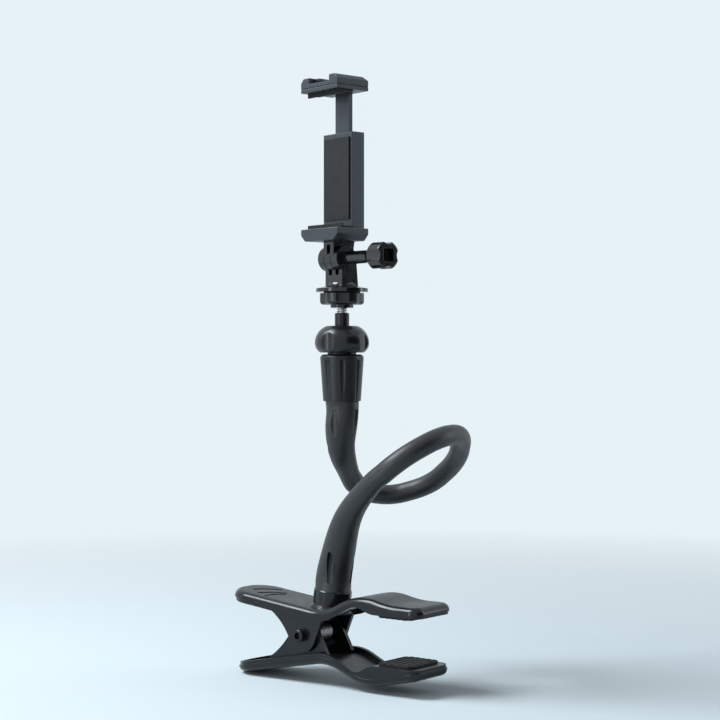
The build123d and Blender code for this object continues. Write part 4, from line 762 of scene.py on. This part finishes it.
@dataclass
class SpringClip:
    """The spring clip: two arms, their grip pads, the cross bolt and the wound torsion spring.

    Attributes:
        pivot: Middle of the cross bolt.
        coil_r: Radius of the coil, to the middle of the wire.
        wire_d: The spring wire's diameter.
        coil_half: Half of the coil's length.
        full_turns: Whole turns of the coil.
        upper_tip: End of the leg on the upper arm, as X and Z.
        lower_tip: End of the leg on the lower arm, as X and Z.
        wire_sides: Flat sides of the wire's section.
        steps_per_turn: Straight steps in one turn of the coil.
        spring_crease: Faces of the spring that meet at less than this angle are smooth, in degrees.
        blend_half: Half of the length over which the coil goes from one arm's motion to the other's; not used.
        handle_tip: Middle of the upper handle's end.
        handle_slope: Rise of the upper handle along X.
        groove_width: Width of a thumb groove.
        groove_depth: Depth of a thumb groove.
        groove_steps: Straight steps along a groove.
        groove_sides: Flat sides of the groove tool's section.
        grooves: Start, middle and end of each groove, in millimetres from the handle's tip.
    """

    pivot: Point = (-67.0 * MM, 0.0, -15.6 * MM)
    coil_r: float = 6.4 * MM
    wire_d: float = 1.5 * MM
    coil_half: float = 5.2 * MM
    full_turns: int = 6
    upper_tip: Pair = (-101.0 * MM, 1.04 * MM)
    lower_tip: Pair = (-101.0 * MM, -36.07 * MM)
    wire_sides: int = 14
    steps_per_turn: int = 40
    spring_crease: float = 40.0
    blend_half: float = 4.4 * MM
    handle_tip: Point = (-126.5 * MM, 0.0, 8.0 * MM)
    handle_slope: float = -0.112
    groove_width: float = 2.6 * MM
    groove_depth: float = 1.0 * MM
    groove_steps: int = 14
    groove_sides: int = 24
    grooves: tuple[tuple[Pair, Pair, Pair], ...] = (
        ((13.0, -4.5), (16.0, 3.2), (22.2, 9.0)),
        ((21.2, -9.5), (24.2, -1.6), (30.2, 4.7)),
        ((28.4, -11.5), (28.8, -4.4), (32.0, 1.8)),
    )

    def tangent_angle(self, tip: Pair, side: int) -> float:
        """Angle round the pivot at which a straight leg to a tip leaves the coil.

        Args:
            tip: The leg's end, as X and Z.
            side: 1 where the leg leaves over the coil's top, -1 under it.

        Returns:
            The angle from X toward Z, in radians.
        """
        across, up = tip[0] - self.pivot[0], tip[1] - self.pivot[2]
        reach = hypot(across, up)
        opening = atan2(sqrt(reach**2 - self.coil_r**2), self.coil_r)
        return atan2(up, across) - side * opening

    def wound_spring(self) -> bpy.types.Object:
        """Winds the torsion spring and draws out its two legs.

        Returns:
            The spring, in place.
        """
        start = self.tangent_angle(self.upper_tip, 1)
        stop = self.tangent_angle(self.lower_tip, -1)
        sweep = (start - stop) % tau + tau * self.full_turns
        steps = int(self.steps_per_turn * sweep / tau)
        spring = wind_wire(self.wire_d, self.wire_sides, self.coil_r, start, sweep, -2 * self.coil_half, steps)
        for angle, tip, height in (
            (start, self.upper_tip, self.coil_half),
            (stop, self.lower_tip, -self.coil_half),
        ):
            foot = Vector((self.coil_r * cos(angle), height, self.coil_r * sin(angle)))
            along = Vector((tip[0] - self.pivot[0], height, tip[1] - self.pivot[2])) - foot
            grow_end(spring, foot, along, self.wire_d)
        spring.location = self.pivot
        return settle(spring, "wound_torsion_spring", self.spring_crease)

    def groove_cutter(self, arc: tuple[Pair, Pair, Pair]) -> bpy.types.Object:
        """Makes the round tool that cuts one thumb groove.

        Args:
            arc: Start, middle and end of the groove, in millimetres from the handle's tip.

        Returns:
            The tool, in place.
        """
        (ax, ay), (bx, by), (cx, cy) = arc
        twice = 2 * (ax * (by - cy) + bx * (cy - ay) + cx * (ay - by))
        sums = [x * x + y * y for x, y in arc]
        mid_x = (sums[0] * (by - cy) + sums[1] * (cy - ay) + sums[2] * (ay - by)) / twice
        mid_y = (sums[0] * (cx - bx) + sums[1] * (ax - cx) + sums[2] * (bx - ax)) / twice
        angles = [atan2(y - mid_y, x - mid_x) for x, y in (arc[0], arc[2])]
        first, last = angles if twice > 0 else angles[::-1]
        sweep = (last - first) % tau
        bend_r = hypot(ax - mid_x, ay - mid_y) * MM
        tool_r = (self.groove_width**2 / 4 + self.groove_depth**2) / (2 * self.groove_depth)
        tool = wind_wire(2 * tool_r, self.groove_sides, bend_r, -first, sweep, 0.0, self.groove_steps)
        for angle, side in ((first, -1), (last, 1)):
            foot = Vector((bend_r * cos(angle), 0.0, -bend_r * sin(angle)))
            grow_end(tool, foot, Vector((-sin(angle), 0.0, -cos(angle))) * side * tool_r, 2 * tool_r)
        along = Vector((1.0, 0.0, self.handle_slope)).normalized()
        across = Vector((0.0, 1.0, 0.0))
        out = along.cross(across)
        middle = Vector(self.handle_tip) + (along * mid_x + across * mid_y) * MM
        place = middle + out * (tool_r - self.groove_depth)
        turn = Matrix((along, out, -across)).transposed().to_4x4()
        tool.data.transform(Matrix.Translation(place) @ turn)
        return settle(tool, "groove_tool", TOOL_CREASE)

    def grooved_arm(self) -> bpy.types.Object:
        """Cuts the thumb grooves into a copy of the upper arm.

        Returns:
            The grooved arm, in place.
        """
        arm = copied("upper_arm", "grooved_upper_arm")
        return combine(arm, [(self.groove_cutter(arc), "DIFFERENCE") for arc in self.grooves])

    def build(self, palette: Palette) -> None:
        """Makes and dresses the clip.

        Args:
            palette: The built finishes.
        """
        palette.dress(CLIP_PLASTIC, "lower_arm")
        arm = self.grooved_arm()
        palette.replace("upper_arm", arm, CLIP_PLASTIC)
        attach(arm, "base")
        palette.dress(PAD_RUBBER, "upper_grip_pad", "lower_grip_pad")
        palette.dress(BLACK_STEEL, "pivot_bolt", "pivot_nut", "base_screw")
        palette.dress(SATIN_PLASTIC, "spring_spool")
        spring = self.wound_spring()
        palette.replace("torsion_spring", spring, SPRING_WIRE)
        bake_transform(spring)


@dataclass
class Gooseneck:
    """The bendable neck: core, sleeve and the fittings at both ends.

    Attributes:
        wall_cuts: Planes that bound the added wall, each with the direction toward the wall.
        wall_gap: Room between the core and the added wall.
        wall_t: The added wall's thickness.
    """

    wall_cuts: tuple[Cut, ...] = (
        ((0.0, 0.0, 84.0 * MM), (0.0, 0.0, 1.0)),
        ((0.0, 0.0, 107.0 * MM), (0.0, 0.0, -1.0)),
        ((-25.0 * MM, 0.0, 0.0), (-1.0, 0.0, 0.0)),
    )
    wall_gap: float = 0.5 * MM
    wall_t: float = 1.6 * MM

    def closed_sleeve(self) -> bpy.types.Object:
        """Gives a copy of the sleeve a full wall under the flutes where the neck bends into them.

        Returns:
            The sleeve, in place.
        """
        sleeve = copied("gooseneck_sleeve", "closed_gooseneck_sleeve")
        wall = copied("gooseneck_core", "sleeve_wall")
        trim(wall, self.wall_cuts, fill=False)
        modify(wall, "DISPLACE", mid_level=0.0, strength=self.wall_gap)
        modify(wall, "SOLIDIFY", thickness=self.wall_t, offset=1.0)
        return combine(sleeve, [(settle(wall, wall.name, CAD_CREASE), "UNION")])

    def build(self, palette: Palette) -> None:
        """Makes and dresses the neck.

        Args:
            palette: The built finishes.
        """
        sleeve = self.closed_sleeve()
        palette.replace("gooseneck_sleeve", sleeve, SLEEVE_RUBBER)
        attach(sleeve, "base")
        palette.dress(BRIGHT_STEEL, "gooseneck_core", "base_fitting", "top_fitting")


@dataclass
class BallHead:
    """The ball head: ferrule, housing, cup, ball, lock knob and the cut camera screw.

    Attributes:
        pitch: The camera thread's pitch.
        thread_depth: Depth of the thread.
        crest_flat: Where the flank leaves the crest, as a share of half the pitch.
        root_flat: Where the flank meets the root, as a share of half the pitch.
        thread_points: Points between the two ends of one thread's profile.
        steps: Straight steps in one turn of the thread.
        spare_turns: Turns beyond the screw's length, which are cut off at its ends.
        screw_crease: Faces of the screw that meet at less than this angle are smooth, in degrees.
    """

    pitch: float = 1.27 * MM
    thread_depth: float = 0.66 * MM
    crest_flat: float = 0.09
    root_flat: float = 0.82
    thread_points: int = 7
    steps: int = 36
    spare_turns: int = 3
    screw_crease: float = 35.0

    def cut_screw(self) -> bpy.types.Object:
        """Cuts the camera screw's thread on the stud's own length and diameter.

        Returns:
            The screw, in place.
        """
        low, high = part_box("threaded_stud")
        crest, half = (high.x - low.x) / 2, self.pitch / 2
        deselect()
        bpy.ops.mesh.primitive_plane_add(size=self.pitch)
        screw = bpy.context.object
        with editing(screw):
            choose(screw, lambda place: place.x > 0)
            bpy.ops.mesh.delete(type="VERT")
            bpy.ops.mesh.select_all(action="SELECT")
            bpy.ops.mesh.subdivide(number_cuts=self.thread_points)
        for vertex in screw.data.vertices:
            rise = abs(vertex.co.y / half)
            flank = min(1.0, max(0.0, (rise - self.crest_flat) / (self.root_flat - self.crest_flat)))
            vertex.co = (crest - self.thread_depth * flank, 0.0, vertex.co.y)
        turns = int((high.z - low.z) / self.pitch) + self.spare_turns
        modify(screw, "SCREW", axis=Axis.Z.value, angle=tau, screw_offset=self.pitch, iterations=turns,
               steps=self.steps, render_steps=self.steps)
        foot = low.z - self.spare_turns * half
        screw.location = ((low.x + high.x) / 2, (low.y + high.y) / 2, foot)
        settle(screw, "cut_camera_screw", self.screw_crease)
        ends = (((0.0, 0.0, low.z), (0.0, 0.0, 1.0)), ((0.0, 0.0, high.z), (0.0, 0.0, -1.0)))
        trim(screw, ends, fill=True)
        return settle(screw, screw.name, self.screw_crease)

    def build(self, palette: Palette) -> None:
        """Makes and dresses the ball head.

        Args:
            palette: The built finishes.
        """
        palette.dress(SATIN_PLASTIC, "top_ferrule", "ball_housing")
        palette.dress(KNOB_PLASTIC, "ball_lock_knob", "lock_nut")
        palette.dress(BLACK_STEEL, "ball_stem")
        palette.dress(CUP_LINER, "ball_cup")
        screw = self.cut_screw()
        palette.replace("threaded_stud", screw, BRIGHT_STEEL)
        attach(screw, "ball_tilt")


@dataclass
class Hinge:
    """The pronged hinge: washer, both adapters, the hinge screw, its nut and the thumb knob.

    Attributes:
        flange_foot: Middle of the flange's underside.
        flange_ring: Profile of the ring that rounds the flange, as radius and height in millimetres.
        flange_slope: Profile of what is cut off above the flange, as radius and height in millimetres.
    """

    flange_foot: Point = (-45.5 * MM, -4.0 * MM, 187.0 * MM)
    flange_ring: tuple[Pair, ...] = (
        (5.4, 0.6), (12.0, 0.05), (15.35, 0.05), (15.35, 2.05), (12.2, 2.8), (10.0, 3.3), (8.9, 3.75),
        (8.25, 4.4), (7.85, 5.2), (7.6, 5.5), (5.4, 5.6),
    )
    flange_slope: tuple[Pair, ...] = ((10.1, 3.2), (12.2, 2.72), (16.0, 1.9), (16.0, 3.8), (10.1, 3.8))

    def round_flange(self) -> bpy.types.Object:
        """Gives a copy of the three-prong adapter a plain round flange that slopes up to a soft foot.

        Returns:
            The adapter, in place.
        """
        adapter = copied("three_prong_adapter", "round_flange_adapter")
        ring = turned(self.flange_ring, self.flange_foot, "flange_ring")
        slope = turned(self.flange_slope, self.flange_foot, "flange_slope")
        return combine(adapter, [(ring, "UNION"), (slope, "DIFFERENCE")])

    def build(self, palette: Palette) -> None:
        """Makes and dresses the hinge.

        Args:
            palette: The built finishes.
        """
        palette.dress(PAD_RUBBER, "rubber_washer")
        palette.dress(GLOSS_PLASTIC, "two_prong_adapter", "thumb_knob")
        adapter = self.round_flange()
        palette.replace("three_prong_adapter", adapter, GLOSS_PLASTIC)
        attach(adapter, "adapter")
        palette.dress(BRIGHT_STEEL, "hinge_screw", "hinge_nut", "clamp_screw")
        palette.dress(BRASS, "adapter_insert")


@dataclass
class PhoneClamp:
    """The phone clamp: jaws, pads, spine, spring slide and accessory shoe.

    Attributes:
        spring_crease: Faces of the springs that meet at less than this angle are smooth, in degrees.
    """

    spring_crease: float = 60.0

    def build(self, palette: Palette) -> None:
        """Makes and dresses the clamp.

        Args:
            palette: The built finishes.
        """
        palette.dress(CLAMP_METAL, "lower_jaw", "clamp_housing", "housing_cover", "upper_jaw", "shoe_block",
                      "slide_blade")
        palette.dress(PAD_RUBBER, "lower_jaw_pad", "upper_jaw_pad", "spine_pad")
        palette.dress(BRIGHT_STEEL, "guide_rods")
        springs = settle(copied("jaw_springs", "slide_springs"), "slide_springs", self.spring_crease)
        palette.replace("jaw_springs", springs, BRIGHT_STEEL)
        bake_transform(springs)
        palette.dress(BLACK_STEEL, "cover_screws", "housing_screws", "shoe_screws")


@dataclass(frozen=True)
class Lamp:
    """A soft rectangular lamp, turned to the holder.

    Attributes:
        name: The lamp's name.
        at: Its place.
        width: Its width.
        height: Its height.
        power: Its power, in watts.
    """

    name: str
    at: Point
    width: float
    height: float
    power: float


@dataclass
class Studio:
    """Camera, floor, world and soft lamps.

    Attributes:
        camera_at: The camera's place.
        camera_along: The way it looks.
        lens: Focal length, in millimetres.
        sensor: Width of the sensor, in millimetres.
        clip: Nearest and farthest distance that it sees.
        aim: The place that the lamps are turned to.
        backdrop: Colour behind the holder.
        floor_colour: The floor's colour.
        floor_gap: Room between the holder's lowest point and the floor.
        floor_r: The floor's radius.
        floor_sides: Straight sides of the floor's rim.
        fade: Radii at which the floor starts and ends fading into the backdrop.
        flag_at: Middle of the dark flag.
        flag_size: The flag's width and height.
        flag_colour: The flag's colour.
        ambient: Strength of the light from all round.
        lamp_colour: The lamps' colour.
        lamps: The lamps.
    """

    camera_at: Point = (0.5784, -0.7853, 0.147)
    camera_along: Point = (-0.6157, 0.7880, 0.0)
    lens: float = 85.0
    sensor: float = 36.0
    clip: Pair = (0.01, 20.0)
    aim: Point = (-0.035, 0.0, 0.13)
    backdrop: Colour = (0.80, 0.885, 0.93)
    floor_colour: Colour = (0.74, 0.80, 0.825)
    floor_gap: float = 0.3 * MM
    floor_r: float = 1.0
    floor_sides: int = 96
    fade: Pair = (0.22, 0.95)
    flag_at: Point = (1.10, -0.02, 0.50)
    flag_size: Pair = (1.35, 1.10)
    flag_colour: Colour = (0.02, 0.018, 0.016)
    ambient: float = 0.25
    lamp_colour: Colour = (0.86, 0.94, 1.0)
    lamps: tuple[Lamp, ...] = (
        Lamp("key_softbox", at=(-0.635, -0.525, 1.09), width=0.62, height=0.62, power=19.0),
        Lamp("front_strip", at=(-0.36, -1.15, 0.27), width=0.25, height=1.00, power=4.0),
        Lamp("left_strip", at=(-1.05, -0.58, 0.22), width=0.40, height=0.90, power=0.45),
        Lamp("right_strip", at=(0.80, 0.85, 0.45), width=0.30, height=0.90, power=2.5),
    )

    def hang(self, thing: bpy.types.Object, at: Point, along: Vector) -> None:
        """Puts a camera or a lamp into the scene.

        Args:
            thing: The camera or lamp.
            at: Its place.
            along: The way it faces.
        """
        thing.location = at
        thing.rotation_euler = along.to_track_quat("-Z", "Y").to_euler()
        bpy.context.scene.collection.objects.link(thing)

    def place_camera(self) -> None:
        """Sets the camera at the photograph's viewing angle."""
        lens = bpy.data.cameras.new("camera")
        lens.lens = self.lens
        lens.sensor_width = self.sensor
        lens.clip_start, lens.clip_end = self.clip
        camera = bpy.data.objects.new("camera", lens)
        self.hang(camera, self.camera_at, Vector(self.camera_along))
        bpy.context.scene.camera = camera

    def lay_floor(self) -> None:
        """Lays a pale round floor that fades into the backdrop."""
        deselect()
        low = CAD_BOX[0].z - self.floor_gap
        bpy.ops.mesh.primitive_circle_add(vertices=self.floor_sides, radius=self.floor_r, fill_type="NGON",
                                          location=(0, 0, low))
        floor = bpy.context.object
        floor.name = "floor"
        bpy.ops.object.transform_apply(location=True)
        sheet = NodeSheet(bpy.data.materials.new("floor_paper"))
        matt = sheet.add("ShaderNodeBsdfDiffuse", Color=(*self.floor_colour, 1.0))
        clear = sheet.add("ShaderNodeBsdfTransparent")
        place = sheet.add("ShaderNodeTexCoord")
        length = sheet.add("ShaderNodeVectorMath", operation="LENGTH")
        sheet.link(place.outputs["Object"], length.inputs[0])
        faded = sheet.span(length.outputs["Value"], (0.0, 1.0), self.fade)
        sheet.show("ShaderNodeOutputMaterial", sheet.mixed(faded, matt, clear))
        floor.data.materials.append(sheet.owner)

    def stand_flag(self) -> None:
        """Stands a dark flag on the right, outside the picture, to keep that side's reflections dark."""
        deselect()
        bpy.ops.mesh.primitive_plane_add(size=1.0, location=self.flag_at, rotation=(0.0, pi / 2, 0.0))
        flag = bpy.context.object
        flag.name = "flag"
        flag.scale = (self.flag_size[1], self.flag_size[0], 1.0)
        bpy.ops.object.transform_apply(location=True, rotation=True, scale=True)
        flag.visible_camera = False
        sheet = NodeSheet(bpy.data.materials.new("flag_cloth"))
        matt = sheet.add("ShaderNodeBsdfDiffuse", Color=(*self.flag_colour, 1.0))
        sheet.show("ShaderNodeOutputMaterial", matt.outputs["BSDF"])
        flag.data.materials.append(sheet.owner)

    def hang_world(self) -> None:
        """Makes the world: a pale backdrop for the eye and for reflections, softer light for the rest."""
        sheet = NodeSheet(bpy.data.worlds.new("studio"))
        path = sheet.add("ShaderNodeLightPath").outputs
        bent = sheet.maths("MAXIMUM", path["Is Glossy Ray"], path["Is Transmission Ray"])
        seen = sheet.maths("MAXIMUM", path["Is Camera Ray"], bent)
        light = sheet.add("ShaderNodeBackground", Color=(*self.lamp_colour, 1.0), Strength=self.ambient)
        shown = sheet.add("ShaderNodeBackground", Color=(*self.backdrop, 1.0))
        sheet.show("ShaderNodeOutputWorld", sheet.mixed(seen, light, shown))
        bpy.context.scene.world = sheet.owner

    def hang_lamps(self) -> None:
        """Hangs the soft lamps, each turned to the holder."""
        for lamp in self.lamps:
            light = bpy.data.lights.new(lamp.name, "AREA")
            light.shape = "RECTANGLE"
            light.size, light.size_y = lamp.width, lamp.height
            light.energy = lamp.power
            light.color = self.lamp_colour
            self.hang(bpy.data.objects.new(lamp.name, light), lamp.at, Vector(self.aim) - Vector(lamp.at))

    def build(self) -> None:
        """Sets up the whole studio."""
        bpy.context.scene.view_settings.view_transform = "Standard"
        self.place_camera()
        self.lay_floor()
        self.stand_flag()
        self.hang_world()
        self.hang_lamps()


def main() -> None:
    """Builds the studio and each sub-assembly in order."""
    logging.basicConfig(level=logging.INFO, format="%(name)s: %(message)s")
    Studio().build()
    palette = Palette()
    for assembly in (SpringClip(), Gooseneck(), BallHead(), Hinge(), PhoneClamp()):
        assembly.build(palette)
        log.info("%s built", type(assembly).__name__)


if __name__ == "__main__":
    main()
